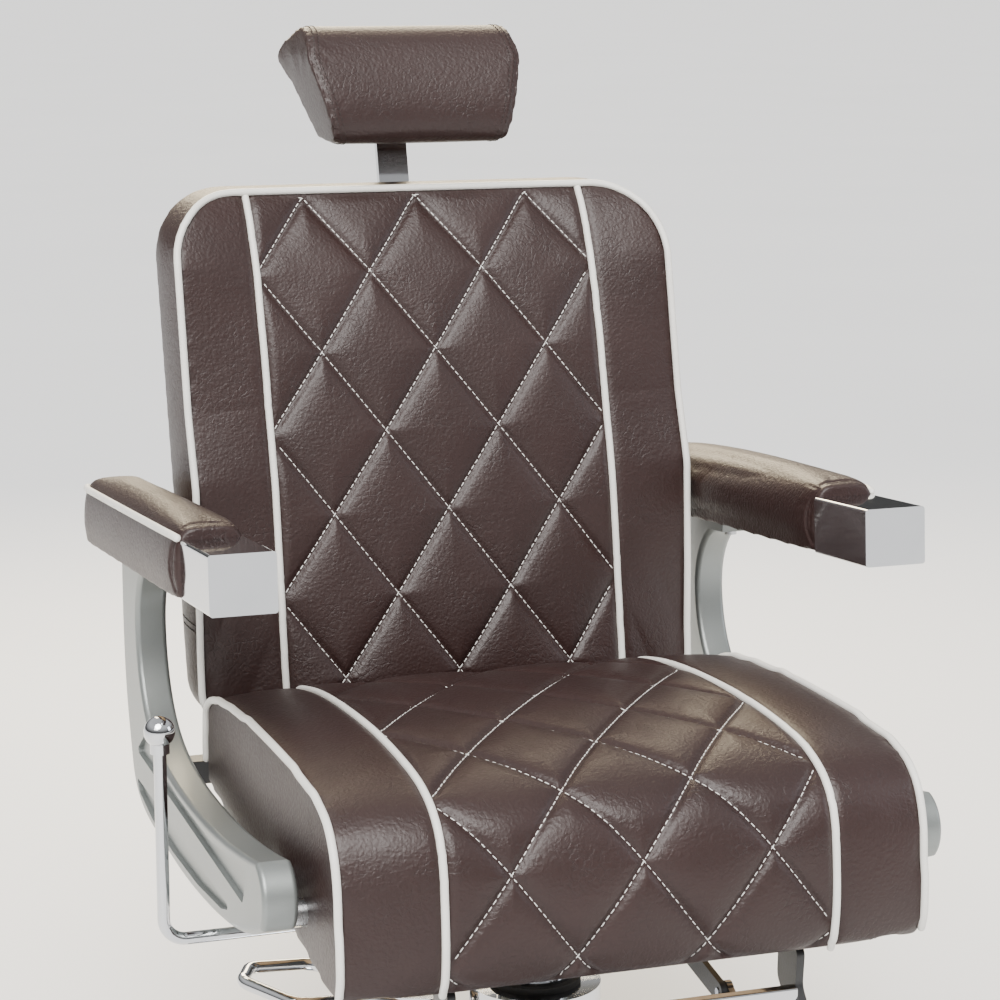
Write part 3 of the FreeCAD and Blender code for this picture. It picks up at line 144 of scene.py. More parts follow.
def makeLeather():
    net = Net("brownLeather")
    tone = net.noise(9, 5, 0.6)
    drift = net.add("TexNoise", {}, {"Vector": net.place, "Scale": 150, "Detail": 3}, "Color")
    sway = (0.0045, 0.0045, 0.0045)
    wander = net.add("VectorMath", {"operation": "MULTIPLY_ADD"}, [drift, sway, net.place])
    pebble = net.cells(300, "SMOOTH_F1", wander)
    creases = 1 - net.ramp(net.cells(130, "DISTANCE_TO_EDGE", wander), [(0.0, 0.0), (0.10, 1.0)])
    patches = net.ramp(net.noise(24, 4, 0.6), [(0.44, 0.0), (0.66, 1.0)])
    # patchy crease lines: pressed into the bump, and darkened in the colour below as painted shade
    shadedCreases = patches * creases
    height = net.noise(70, 5, 0.6) * 0.7 + net.noise(420, 3, 0.6) * 0.45 - pebble * 0.75 - shadedCreases * 0.4
    colour = net.mix(tone, (0.017, 0.0066, 0.0058), (0.030, 0.0125, 0.0108))
    # darker along the creases and in the grain's low cells: painted shade in the hollows of the bump
    colour = net.mix(shadedCreases * 0.35 + pebble * 0.3, colour, (0.013, 0.006, 0.0055))
    return net.set(Base_Color=colour, Roughness=0.37 + tone * 0.08 + pebble * 0.1,
                   Normal=net.bump(height, 0.0007, 0.8), Coat_Weight=0.06, Coat_Roughness=0.3,
                   Specular_IOR_Level=0.42)


def makePiping():
    net = Net("ivoryPiping")
    colour = net.mix(net.noise(40, 4), (0.72, 0.70, 0.65), (0.84, 0.83, 0.79))
    height = net.cells(700, "SMOOTH_F1") * 0.4 + net.noise(160, 4) * 0.6
    return net.set(Base_Color=colour, Roughness=0.42 + net.noise(60, 2) * 0.12,
                   Normal=net.bump(height, 0.0002, 0.6), Coat_Weight=0.15, Coat_Roughness=0.3)


def makeThread(name, dark, light):
    net = Net(name)
    twist = net.noise(900, 2, 0.5, 0.4, (1, 1, 0.35))
    return net.set(Base_Color=net.mix(twist, dark, light), Roughness=0.6 + twist * 0.15,
                   Normal=net.bump(twist, 0.0003, 0.8))


def makeChrome():
    net = Net("mirrorChrome")
    smear = net.noise(14, 5, 0.62)
    scuff = net.noise(420, 2, 0.5, 0.0, (1, 1, 0.12))
    return net.set(Base_Color=net.mix(smear, (0.56, 0.575, 0.60), (0.68, 0.69, 0.71)), Metallic=1.0,
                   Roughness=0.035 + smear * 0.05 + scuff * 0.02,
                   Normal=net.bump(net.noise(26, 2), 0.00025, 0.25))


def makeSilverPaint():
    net = Net("silverEnamel")
    flake = net.cells(1500)
    peel = net.noise(95, 3, 0.5)
    tone = net.noise(7, 3)
    colour = net.mix(tone * 0.6 + flake * 0.3, (0.20, 0.215, 0.21), (0.29, 0.31, 0.305))
    return net.set(Base_Color=colour, Metallic=0.6, Roughness=0.34 + tone * 0.08 + flake * 0.1,
                   Normal=net.bump(peel * 0.8 + net.noise(18, 3) * 0.5, 0.0005, 0.35),
                   Coat_Weight=0.25, Coat_Roughness=0.25)


def makeMetal(name, dark, light, rough, streak):
    net = Net(name)
    brushed = net.noise(260, 3, 0.6, 0.0, streak)
    tone = net.noise(12, 4)
    return net.set(Base_Color=net.mix(tone * 0.6 + brushed * 0.4, dark, light), Metallic=1.0,
                   Roughness=rough + brushed * 0.16, Normal=net.bump(brushed, 0.00018, 0.45))


def makeBlackSteel():
    net = Net("blackPowderCoat")
    pebble = net.cells(900, "SMOOTH_F1")
    worn = net.ramp(net.noise(30, 6, 0.7), [(0.62, 0.0), (0.72, 1.0)])
    colour = net.mix(worn * 0.35, (0.012, 0.012, 0.013), (0.05, 0.05, 0.052))
    return net.set(Base_Color=colour, Roughness=0.34 + pebble * 0.2, Normal=net.bump(pebble, 0.0003, 0.5),
                   Coat_Weight=0.2, Coat_Roughness=0.3)


def makeRubber():
    net = Net("blackRubber")
    return net.set(Base_Color=net.mix(net.noise(30, 4), (0.012, 0.012, 0.012), (0.03, 0.03, 0.031)),
                   Roughness=0.62 + net.noise(60, 3) * 0.2, Normal=net.bump(net.cells(700), 0.0003, 0.6))


def makePlastic():
    net = Net("mouldedPlastic")
    leatherette = net.cells(420, "SMOOTH_F1")
    return net.set(Base_Color=net.mix(net.noise(16, 3), (0.013, 0.012, 0.012), (0.024, 0.023, 0.023)),
                   Roughness=0.44 + leatherette * 0.2, Normal=net.bump(leatherette, 0.0004, 0.6))


def makePlywood():
    net = Net("birchPly")
    rings = net.noise(26, 6, 0.6, 1.2, (1, 0.12, 6))
    return net.set(Base_Color=net.mix(rings, (0.42, 0.27, 0.14), (0.66, 0.48, 0.29)),
                   Roughness=0.6 + rings * 0.15, Normal=net.bump(rings, 0.0004, 0.5))


finishes = {
    "leather": makeLeather(),
    "white_piping": makePiping(),
    "chrome": makeChrome(),
    "silver_paint": makeSilverPaint(),
    "black_steel": makeBlackSteel(),
    "bright_steel": makeMetal("brightZinc", (0.46, 0.47, 0.48), (0.62, 0.63, 0.64), 0.2, (1, 1, 0.2)),
    "black_rubber": makeRubber(),
    "black_plastic": makePlastic(),
    "bearing_bronze": makeMetal("bearingBronze", (0.42, 0.26, 0.11), (0.6, 0.41, 0.2), 0.25, (1, 1, 0.3)),
    "plywood": makePlywood(),
    "cast_alloy": makeMetal("castAlloy", (0.42, 0.43, 0.44), (0.58, 0.59, 0.6), 0.3, (1, 1, 1)),
}
whiteThread = makeThread("whiteThread", (0.62, 0.61, 0.58), (0.86, 0.85, 0.82))
darkThread = makeThread("darkThread", (0.012, 0.007, 0.006), (0.03, 0.017, 0.015))
for part in frame["record"]["subparts"]:
    for holder in frame["nodes"][part["node"]].material_slots:
        holder.material = finishes[part["material_slot"]]
print("finishes made:", len(finishes) + 2)


# mesh helpers
def newPiece(name, points, faces, finish):
    mesh = bpy.data.meshes.new(name)
    mesh.from_pydata([tuple(p) for p in points], [], faces)
    mesh.validate()
    mesh.materials.append(finish)
    mesh.polygons.foreach_set("use_smooth", [True] * len(mesh.polygons))
    piece = bpy.data.objects.new(name, mesh)
    scene.collection.objects.link(piece)
    return piece


def lengths(path):
    # how far along the path each of its points lies
    return np.concatenate([[0], np.cumsum(np.linalg.norm(np.diff(path, axis=0), axis=1))])


def nearestOn(outline, across, up):
    # the outline's nearest point for each place, and how far off it is, in blocks to save memory
    index = np.empty(len(across), int)
    gap = np.empty(len(across))
    for start in range(0, len(across), 20000):
        block = slice(start, start + 20000)
        far = np.hypot(across[block, None] - outline[:, 0], up[block, None] - outline[:, 1])
        index[block] = far.argmin(1)
        gap[block] = far.min(1)
    return index, gap


def runOf(found):
    # a list of (point, normal) as a stitch run
    return [spot for spot, _ in found], [lift for _, lift in found]


def evenly(points, count, closed=False):
    # smooth curve through the points, sampled evenly by length
    p = np.array(points, float)
    if closed:
        p = np.vstack([p[-1:], p, p[:2]])
    else:
        p = np.vstack([2 * p[:1] - p[1:2], p, 2 * p[-1:] - p[-2:-1]])
    t = np.linspace(0, 1, 24, endpoint=False)[:, None]
    runs = []
    for a, b, c, d in zip(p[:-3], p[1:-2], p[2:-1], p[3:]):
        bend = (2 * a - 5 * b + 4 * c - d) * t ** 2 + (3 * b - a - 3 * c + d) * t ** 3
        runs.append(0.5 * (2 * b + (c - a) * t + bend))
    fine = np.vstack(runs + [p[-2:-1]])
    along = lengths(fine)
    spots = np.linspace(0, along[-1], count, endpoint=not closed)
    return np.stack([np.interp(spots, along, fine[:, k]) for k in range(p.shape[1])], axis=1)


def ease(value, low, high):
    t = np.clip((value - low) / (high - low), 0, 1)
    return t * t * (3 - 2 * t)


def skinRings(name, rings, finish):
    # closed form through rings of the same count, with a fan at each end
    count = len(rings[0])
    points = [tuple(p) for ring in rings for p in ring]
    faces = []
    for i in range(len(rings) - 1):
        for j in range(count):
            k = (j + 1) % count
            faces.append((i * count + j, i * count + k, (i + 1) * count + k, (i + 1) * count + j))
    for ring, base, turned in ((rings[0], 0, True), (rings[-1], (len(rings) - 1) * count, False)):
        middle = len(points)
        points.append(tuple(np.mean(np.array(ring), axis=0)))
        for j in range(count):
            k = (j + 1) % count
            faces.append((base + k, base + j, middle) if turned else (base + j, base + k, middle))
    return newPiece(name, points, faces, finish)


def spots(piece):
    mesh = piece.data
    where = np.empty(len(mesh.vertices) * 3)
    mesh.vertices.foreach_get("co", where)
    return where.reshape(-1, 3)


def outward(piece):
    mesh = piece.data
    way = np.empty(len(mesh.vertices) * 3)
    mesh.vertex_normals.foreach_get("vector", way)
    return way.reshape(-1, 3)


def moveTo(piece, where):
    piece.data.vertices.foreach_set("co", np.asarray(where, float).ravel())
    piece.data.update()


def settled(piece):
    # the piece's mesh with its modifiers in it, and no modifier left
    bpy.context.view_layer.update()
    graph = bpy.context.evaluated_depsgraph_get()
    mesh = bpy.data.meshes.new_from_object(piece.evaluated_get(graph))
    mesh.name = piece.name
    piece.modifiers.clear()
    piece.data = mesh
    mesh.polygons.foreach_set("use_smooth", [True] * len(mesh.polygons))
    return piece


def puff(piece, how, held, still):
    # even mesh, then air pressure between the held seams, no point further than the cap
    remesh = piece.modifiers.new("even", "REMESH")
    remesh.mode = "VOXEL"
    remesh.voxel_size = how["voxel"]
    settled(piece)
    start = spots(piece)
    seams = piece.vertex_groups.new(name="seams")
    seams.add([int(i) for i in np.nonzero(held(start))[0]], 1.0, "REPLACE")
    cloth = piece.modifiers.new("air", "CLOTH")
    cloth.settings.quality = 4
    cloth.settings.mass = 0.35
    cloth.settings.tension_stiffness = how["tension"]
    cloth.settings.compression_stiffness = how["tension"]
    cloth.settings.bending_stiffness = 1.5
    cloth.settings.use_pressure = True
    cloth.settings.uniform_pressure_force = how["pressure"]
    cloth.settings.vertex_group_mass = "seams"
    cloth.settings.effector_weights.gravity = 0
    cloth.collision_settings.use_collision = False
    for number in range(1, how["frames"] + 1):
        scene.frame_set(number)
    graph = bpy.context.evaluated_depsgraph_get()
    swollen = spots(piece.evaluated_get(graph))
    piece.modifiers.clear()
    piece.vertex_groups.clear()
    scene.frame_set(1)
    shift = swollen - start
    shift[still(start)] = 0
    far = np.linalg.norm(shift, axis=1, keepdims=True)
    shift *= np.minimum(1, how["cap"] / np.maximum(far, 1e-9))
    moveTo(piece, start + shift)
    finer = piece.modifiers.new("finer", "SUBSURF")
    finer.levels = finer.render_levels = 1
    settled(piece)
    print("puffed", piece.name, len(piece.data.vertices))


def surfaceOf(piece):
    graph = bpy.context.evaluated_depsgraph_get()
    return BVHTree.FromObject(piece, graph)


def tube(name, path, radius, finish, closed=False, sides=10):
    # round cord along a path, its ends drawn in to a dome
    path = np.array(path, float)
    count = len(path)
    ahead = np.roll(path, -1, 0) - np.roll(path, 1, 0)
    if not closed:
        ahead[0] = path[1] - path[0]
        ahead[-1] = path[-1] - path[-2]
    ahead /= np.linalg.norm(ahead, axis=1, keepdims=True)
    side = np.cross(ahead[0], (0.31, 0.52, 0.79))
    rings = []
    for i in range(count):
        side = side - ahead[i] * np.dot(side, ahead[i])
        side /= np.linalg.norm(side)
        across = np.cross(ahead[i], side)
        turn = np.arange(sides) * 2 * math.pi / sides
        rings.append(path[i] + radius * (np.cos(turn)[:, None] * side + np.sin(turn)[:, None] * across))
    if not closed:
        for end, step in ((0, -1), (-1, 1)):
            rim = rings[end] - path[end]
            for share, out in ((0.8, 0.6), (0.35, 0.95)):
                ring = path[end] + rim * share + ahead[end] * radius * out * step
                rings.insert(0 if step < 0 else len(rings), ring)
        return skinRings(name, rings, finish)
    points = [tuple(p) for ring in rings for p in ring]
    faces = []
    for i in range(count):
        for j in range(sides):
            k = (j + 1) % sides
            n = (i + 1) % count
            faces.append((i * sides + j, i * sides + k, n * sides + k, n * sides + j))
    return newPiece(name, points, faces, finish)


def stitches(name, runs, spec, finish):
    # one small capsule per stitch, laid on the surface along each run of (point, normal)
    points, faces = [], []
    shape = ((-0.5, 0.25), (-0.42, 0.8), (-0.2, 1.0), (0.2, 1.0), (0.42, 0.8), (0.5, 0.25))
    sides = 6
    for where, lift in runs:
        where = np.array(where)
        lift = np.array(lift)
        along = lengths(where)
        count = int(along[-1] / spec["pitch"])
        for n in range(count):
            middle = (n + 0.5) * spec["pitch"]
            a, b = middle - spec["length"] / 2, middle + spec["length"] / 2
            start, stop, up = (np.array([np.interp(t, along, block[:, k]) for k in range(3)])
                               for t, block in ((a, where), (b, where), (middle, lift)))
            ahead = (stop - start) / np.linalg.norm(stop - start)
            across = np.cross(up, ahead)
            up = np.cross(ahead, across)
            base = len(points)
            for t, wide in shape:
                centre = (start + stop) / 2 + ahead * t * spec["length"] + up * spec["rise"] * wide
                for s in range(sides):
                    turn = 2 * math.pi * s / sides
                    ring = across * math.cos(turn) + up * math.sin(turn)
                    points.append(centre + ring * spec["radius"] * wide)
            for i in range(len(shape) - 1):
                for s in range(sides):
                    k = (s + 1) % sides
                    low, high = base + i * sides, base + (i + 1) * sides
                    faces.append((low + s, low + k, high + k, high + s))
            faces.append(tuple(base + s for s in reversed(range(sides))))
            last = base + (len(shape) - 1) * sides
            faces.append(tuple(last + s for s in range(sides)))
    return newPiece(name, points, faces, finish)


def dressed(piece, body, slotName, *nodes):
    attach(piece, body)
    if nodes:
        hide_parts(*nodes)
    return piece


# distance from the diamond lines of a quilted panel, and its lines as x for a given row
quilt = {"wide": 0.0624, "tall": 0.0825, "groove": 0.0030, "sharp": 0.0030, "pillow": 0.0046, "soft": 0.013}


def quiltGap(x, row):
    steep = math.hypot(1 / quilt["wide"], 1 / quilt["tall"])
    gaps = []
    for lean in (-1, 1):
        value = x / quilt["wide"] + lean * row
        gaps.append(np.abs((value + 1) % 2 - 1) / steep)
    return np.minimum(gaps[0], gaps[1])


def quiltHeight(gap):
    pillow = quilt["pillow"] * (1 - np.exp(-(gap / quilt["soft"]) ** 1.3))
    return pillow - quilt["groove"] * np.exp(-(gap / quilt["sharp"]) ** 2) - quilt["pillow"] * 0.6


def quiltRuns(rows, half):
    # (x, row) points along every diagonal between the panel's side seams
    runs = []
    low, high = rows
    reach = int(half / quilt["wide"] + high) + 3
    for lean in (-1, 1):
        for number in range(-2 * reach, 2 * reach + 1, 2):
            row = np.linspace(low, high, 260)
            x = (number - lean * row) * quilt["wide"]
            keep = np.abs(x) < half - 0.004
            if keep.sum() > 6:
                runs.append((x[keep], row[keep]))
    return runs


# seat cushion: waterfall front, quilted middle, a board's room below
seatLow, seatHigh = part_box("seat_cushion")
seat = {
    "half": seatHigh.x - 0.001, "inner": 0.187, "wall": 0.018, "roomTop": 0.0755,
    # over the low corner of the cushion's box: (back from the front, up from the hem)
    "edge": [(0.512, 0.064), (0.511, 0.126), (0.502, 0.148), (0.467, 0.163), (0.402, 0.172), (0.312, 0.178),
             (0.202, 0.179), (0.110, 0.174), (0.062, 0.165), (0.035, 0.147), (0.020, 0.117), (0.014, 0.076),
             (0.011, 0.034), (0.015, 0.009), (0.024, 0.001)],
    "middle": [(0.512, 0.064), (0.510, 0.134), (0.497, 0.158), (0.462, 0.168), (0.397, 0.179), (0.312, 0.186),
               (0.207, 0.189), (0.107, 0.183), (0.057, 0.172), (0.026, 0.153), (0.010, 0.126), (0.004, 0.086),
               (0.002, 0.046), (0.006, 0.014), (0.015, 0.002)],
    "puff": {"voxel": 0.0058, "pressure": 4.0, "tension": 12, "cap": 0.009, "frames": 20},
    "rowStart": 0.35, "pipe": 0.0038, "valley": 0.0032, "valleyWidth": 0.0055, "sideSwell": 0.0028,
}


def seatProfile(x, count=90):
    # points from the rear hem over the top to the front hem, at that distance from the middle
    crown = 1 - ease(abs(x), seat["inner"] - 0.02, seat["half"])
    mixed = np.array(seat["edge"]) * (1 - crown) + np.array(seat["middle"]) * crown
    return evenly(mixed, count) + (seatLow.y, seatLow.z)


def makeSeat():
    rings = []
    solid = seat["half"] - seat["wall"]
    across = np.concatenate([np.linspace(-seat["half"], -solid - 0.0005, 4), np.linspace(-solid, solid, 60),
                             np.linspace(solid + 0.0005, seat["half"], 4)])
    for x in across:
        top = seatProfile(x)
        front, rear = top[-1], top[0]
        if abs(x) > solid:
            slope = [(0.062, 0.000), (0.182, 0.017), (0.5, 0.062)]
            below = [(seatLow.y + a, seatLow.z + b) for a, b in slope]
            below = [front + (0.012, 0)] + [np.array(p) for p in below]
            below = np.array([below[0], below[0], below[0], *below[1:], below[-1]])
        else:
            inY, outY, roof = seatLow.y + 0.027, seatHigh.y - 0.016, seatLow.z + seat["roomTop"]
            below = np.array([(inY - 0.004, front[1]), (inY, front[1] + 0.006), (inY, roof), (inY, roof),
                              (outY, roof), (outY, roof), (outY, rear[1] + 0.004)])
        loop = np.vstack([top, below])
        rings.append(np.column_stack([np.full(len(loop), x), loop]))
    piece = skinRings("seatUpholstery", rings, finishes["leather"])

    def held(p):
        # the seams of the three panels, the hems and the hollow for the board
        x = np.abs(p[:, 0])
        low = p[:, 2] < seatLow.z + 0.012
        return (np.abs(x - seat["inner"]) < 0.004) | (x > seat["half"] - 0.003) & seatRim(p) | low | inside(p)

    def seatRim(p):
        outline = seatProfile(seat["half"], 240)
        return nearestOn(outline, p[:, 1], p[:, 2])[1] < 0.006

    def inside(p):
        roof = p[:, 2] < seatLow.z + seat["roomTop"] + 0.004
        deep = (p[:, 1] > seatLow.y + 0.022) & (p[:, 1] < seatHigh.y - 0.010)
        return roof & (np.abs(p[:, 0]) < solid + 0.004) & deep

    puff(piece, seat["puff"], held, inside)
    where = spots(piece)
    way = outward(piece)
    outline = seatProfile(0, 600)
    along = lengths(outline)
    nearest = nearestOn(outline, where[:, 1], where[:, 2])[0]
    row = seat["rowStart"] + along[nearest] / quilt["tall"]
    x = np.abs(where[:, 0])
    shell = ~inside(where) & (along[nearest] > 0.03) & (along[nearest] < along[-1] - 0.004)
    panel = shell & (x < seat["inner"])
    height = np.zeros(len(where))
    fade = 1 - ease(x, seat["inner"] - 0.012, seat["inner"])
    height[panel] = (quiltHeight(quiltGap(where[:, 0], row)) * fade)[panel]
    valley = -seat["valley"] * np.exp(-((x - seat["inner"]) / seat["valleyWidth"]) ** 2)
    height += np.where(shell, valley, 0)
    side = shell & (x > seat["inner"])
    share = np.clip((x - seat["inner"]) / (seat["half"] - seat["inner"]), 0, 1)
    bulge = seat["sideSwell"] * np.sin(share * math.pi)
    height += np.where(side, bulge, 0)
    moveTo(piece, where + way * height[:, None])
    dressed(piece, "seat", "leather", "seat_cushion")

    skin = surfaceOf(piece)
    flat = np.gradient(outline, axis=0)
    out = np.column_stack([-flat[:, 1], flat[:, 0]])
    out /= np.linalg.norm(out, axis=1, keepdims=True)
    if out[300, 1] < 0:
        out = -out

    def land(x, at):
        # the skin's point and normal at x, that far along the profile
        y, z = (np.interp(at, along, outline[:, k]) for k in (0, 1))
        lift = Vector((0, *(np.interp(at, along, out[:, k]) for k in (0, 1)))).normalized()
        hit = skin.ray_cast(Vector((x, y, z)) + lift * 0.05, -lift, 0.1)
        return (hit[0], hit[1]) if hit[0] else (Vector((x, y, z)), lift)

    runs = []
    last = seat["rowStart"] + (along[-1] - 0.004) / quilt["tall"]
    for xs, rows in quiltRuns((seat["rowStart"] + 0.5, last), seat["inner"]):
        found = [land(a, (b - seat["rowStart"]) * quilt["tall"]) for a, b in zip(xs, rows)]
        runs.append(runOf(found))
    thread = stitches("seatStitching", runs, stitch, whiteThread)
    dressed(thread, "seat", "white_piping")
    for name, x in (("Left", seat["inner"]), ("Right", -seat["inner"])):
        path = [land(x, at) for at in np.linspace(0.035, along[-1] - 0.001, 150)]
        path = [p + n * seat["pipe"] * 0.45 for p, n in path]
        cord = tube("seatInnerPiping" + name, path, seat["pipe"], finishes["white_piping"])
        dressed(cord, "seat", "white_piping")
    for name, side in (("Left", 1), ("Right", -1)):
        edge = seatProfile(seat["half"], 170)[6:]
        path = []
        for y, z in edge:
            spot, lift, _, _ = skin.find_nearest(Vector((side * seat["half"], y, z)))
            edgeSpot = Vector((side * (seat["half"] + 0.0015), spot.y, spot.z))
            path.append(edgeSpot + Vector((0, lift.y, lift.z)) * 0.0015)
        path = evenly([tuple(p) for p in path[::4]], 150)
        cord = tube("seatOuterPiping" + name, path, seat["pipe"], finishes["white_piping"])
        dressed(cord, "seat", "white_piping")
    print("seat made")


stitch = {"pitch": 0.0072, "length": 0.0052, "radius": 0.00062, "rise": 0.0004}
makeSeat()


# back cushion: rounded box, quilted middle, boxing round the sides
backLow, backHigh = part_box("back_cushion")
lean = math.tan(math.radians(14.2))
back = {
    "half": backHigh.x - 0.001, "inner": 0.187, "low": backLow.z, "high": backHigh.z - 0.001,
    "corner": 0.070, "foot": 0.030,
    "planeY": 0.247, "planeZ": 0.600, "deep": 0.104, "board": 0.066, "lip": 0.018,
    # heights over the low edge, with the y of the middle and of the front seam
    "middle": [(0.000, 0.226), (0.062, 0.238), (0.125, 0.252), (0.209, 0.271), (0.292, 0.292), (0.374, 0.314),
               (0.455, 0.345), (0.510, 0.374), (0.539, 0.394)],
    "seam": [(0.000, 0.262), (0.062, 0.268), (0.130, 0.269), (0.242, 0.274), (0.317, 0.302), (0.382, 0.317),
             (0.466, 0.336), (0.515, 0.362), (0.539, 0.388)],
    "boxSeam": (0.092, 0.099),
    "rows": [0.042, 0.125, 0.209, 0.292, 0.374, 0.455, 0.530],
    "puff": {"voxel": 0.0058, "pressure": 4.0, "tension": 12, "cap": 0.010, "frames": 20},
    "pipe": 0.0038, "valley": 0.0034, "valleyWidth": 0.0055,
}


def backRear(z, deep):
    return back["planeY"] + (z - back["planeZ"]) * lean + deep / math.cos(math.atan(lean))


def backFront(x, z):
    # y of the padded front before quilting
    up = np.asarray(z) - back["low"]
    middle = np.interp(up, *zip(*back["middle"]))
    seam = np.interp(up, *zip(*back["seam"]))
    share = ease(np.abs(x), back["inner"] - 0.05, back["half"])
    return middle * (1 - share) + seam * share


def backOutline(inset, count=160):
    # rounded outline (x, z), that far inside the edge, starting at the middle of the hem
    half, low, high = back["half"] - inset, back["low"] + inset, back["high"] - inset
    corner, foot = max(back["corner"] - inset, 0.012), max(back["foot"] - inset, 0.010)
    path = [(0, low)]
    arcs = [(half - foot, low + foot, foot, -90), (half - corner, high - corner, corner, 0),
            (-half + corner, high - corner, corner, 90), (-half + foot, low + foot, foot, 180)]
    for cx, cz, r, first in arcs:
        for step in range(9):
            turn = math.radians(first + step * 90 / 8)
            path.append((cx + r * math.cos(turn), cz + r * math.sin(turn)))
    path.append((0, low))
    path = np.array(path)
    along = lengths(path)
    spots = np.linspace(0, along[-1], count, endpoint=False)
    return np.column_stack([np.interp(spots, along, path[:, 0]), np.interp(spots, along, path[:, 1])])


def makeBack():
    rings = []

    def ring(inset, depth=None, bulge=0.0):
        flat = backOutline(inset - bulge)
        y = backFront(flat[:, 0], flat[:, 1]) if depth is None else backRear(flat[:, 1], depth)
        return np.column_stack([flat[:, 0], y, flat[:, 1]])

    for inset in (0.250, 0.225, 0.2, 0.17, 0.14, 0.11, 0.085, 0.065, 0.045, 0.03, 0.018, 0.009, 0.003, 0.0):
        rings.append(ring(inset))
    edge = rings[-1]
    for share in (0.06, 0.15, 0.3, 0.45, 0.6, 0.75, 0.88, 1.0):
        swell = 0.004 * math.sin(math.pi * share)
        rear = ring(0.0, back["deep"] - 0.001, swell)
        rings.append(edge * (1 - share) + rear * share)
    for inset in (0.006, back["lip"]):
        rings.append(ring(inset, back["deep"] - 0.001))
    for share in (0.5, 0.0):
        rings.append(ring(back["lip"], back["board"] + (back["deep"] - back["board"]) * share))
    for inset in (0.06, 0.12, 0.2, 0.250):
        rings.append(ring(inset, back["board"]))
    piece = skinRings("backUpholstery", rings, finishes["leather"])
    outline = backOutline(0.0, 500)

    def rimGap(p):
        return nearestOn(outline, p[:, 0], p[:, 2])[1]

    def behind(p):
        return p[:, 1] > backRear(p[:, 2], back["board"] - 0.006)

    def inRoom(p):
        return behind(p) & (rimGap(p) > back["lip"] - 0.006)

    def held(p):
        front = p[:, 1] < backFront(p[:, 0], p[:, 2]) + 0.012
        seams = (np.abs(np.abs(p[:, 0]) - back["inner"]) < 0.004) & front
        rim = front & (rimGap(p) < 0.005)
        rearRim = (p[:, 1] > backRear(p[:, 2], back["deep"] - 0.007))
        return seams | rim | rearRim | inRoom(p)

    puff(piece, back["puff"], held, inRoom)
    where = spots(piece)
    way = outward(piece)
    x = np.abs(where[:, 0])
    front = (where[:, 1] < backFront(where[:, 0], where[:, 2]) + 0.02) & (way[:, 1] < -0.3)
    row = backRow(where[:, 2])
    panel = front & (x < back["inner"])
    fade = 1 - ease(x, back["inner"] - 0.012, back["inner"])
    fade = fade * (1 - ease(where[:, 2], back["high"] - 0.016, back["high"] - 0.004))
    height = np.where(panel, quiltHeight(quiltGap(where[:, 0], row)) * fade, 0)
    valley = -back["valley"] * np.exp(-((x - back["inner"]) / back["valleyWidth"]) ** 2)
    height += np.where(front, valley, 0)
    moveTo(piece, where + way * height[:, None])
    dressed(piece, "back", "leather", "back_cushion")

    skin = surfaceOf(piece)

    def land(x, z):
        hit = skin.ray_cast(Vector((x, -0.1, z)), Vector((0, 1, 0)), 1.0)
        return (hit[0], hit[1]) if hit[0] else (Vector((x, float(backFront(x, z)), z)), Vector((0, -1, 0)))

    runs = []
    for xs, rows in quiltRuns((-0.35, 6.12), back["inner"]):
        heights = back["low"] + np.interp(rows, range(-1, 7), [-0.041] + back["rows"])
        found = [land(a, b) for a, b in zip(xs, heights) if backLow.z + 0.012 < b < back["high"] - 0.006]
        if len(found) > 6:
            runs.append(runOf(found))
    dressed(stitches("backStitching", runs, stitch, whiteThread), "back", "white_piping")
    for name, x in (("Left", back["inner"]), ("Right", -back["inner"])):
        path = [land(x, z) for z in np.linspace(back["low"] + 0.008, back["high"] - 0.003, 110)]
        path = [p + n * back["pipe"] * 0.45 for p, n in path]
        cord = tube("backInnerPiping" + name, path, back["pipe"], finishes["white_piping"])
        dressed(cord, "back", "white_piping")
    rim = backOutline(0.0005, 330)
    path = np.column_stack([rim[:, 0], backFront(rim[:, 0], rim[:, 1]) - 0.0012, rim[:, 1]])
    outer = tube("backOuterPiping", path, back["pipe"], finishes["white_piping"], closed=True)
    dressed(outer, "back", "white_piping")
    seams = []
    for side in (-1, 1):
        for up in back["boxSeam"]:
            z = back["low"] + up
            rear = float(backRear(z, back["deep"] - 0.008))
            found = []
            for y in np.linspace(float(backFront(side * back["half"], z)) + 0.008, rear, 30):
                hit = skin.ray_cast(Vector((side * 0.4, y, z)), Vector((-side, 0, 0)), 0.3)
                if hit[0]:
                    found.append((hit[0], hit[1]))
            seams.append(runOf(found))
    dressed(stitches("backBoxingSeam", seams, {**stitch, "radius": 0.0005}, darkThread), "back", "leather")
    print("back made")


def backRow(z):
    return np.interp(z - back["low"], [-0.041] + back["rows"] + [0.61], range(-1, 8))


makeBack()


# arm pads: rounded bolster on its sloping board, gathered on to the metal end
padLow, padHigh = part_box("arm_pad_left")
pad = {
    "slope": math.radians(4.3), "rearY": 0.437, "rearZ": 0.652, "long": 0.456, "inX": 0.2855, "outX": 0.3620,
    "tall": 0.069, "crown": 0.004, "floor": 0.0006, "notch": (0.3012, 0.3418, 0.0108), "pipe": 0.0038,
    "creases": ((0.0145, 0.0024), (0.0085, 0.0018)),
    "puff": {"voxel": 0.0031, "pressure": 4.0, "tension": 14, "cap": 0.003, "frames": 20},
}


def onArm(x, behind, up):
    turn = pad["slope"]
    y = behind * math.cos(turn) + up * math.sin(turn)
    z = -behind * math.sin(turn) + up * math.cos(turn)
    return (x, pad["rearY"] + y, pad["rearZ"] + z)


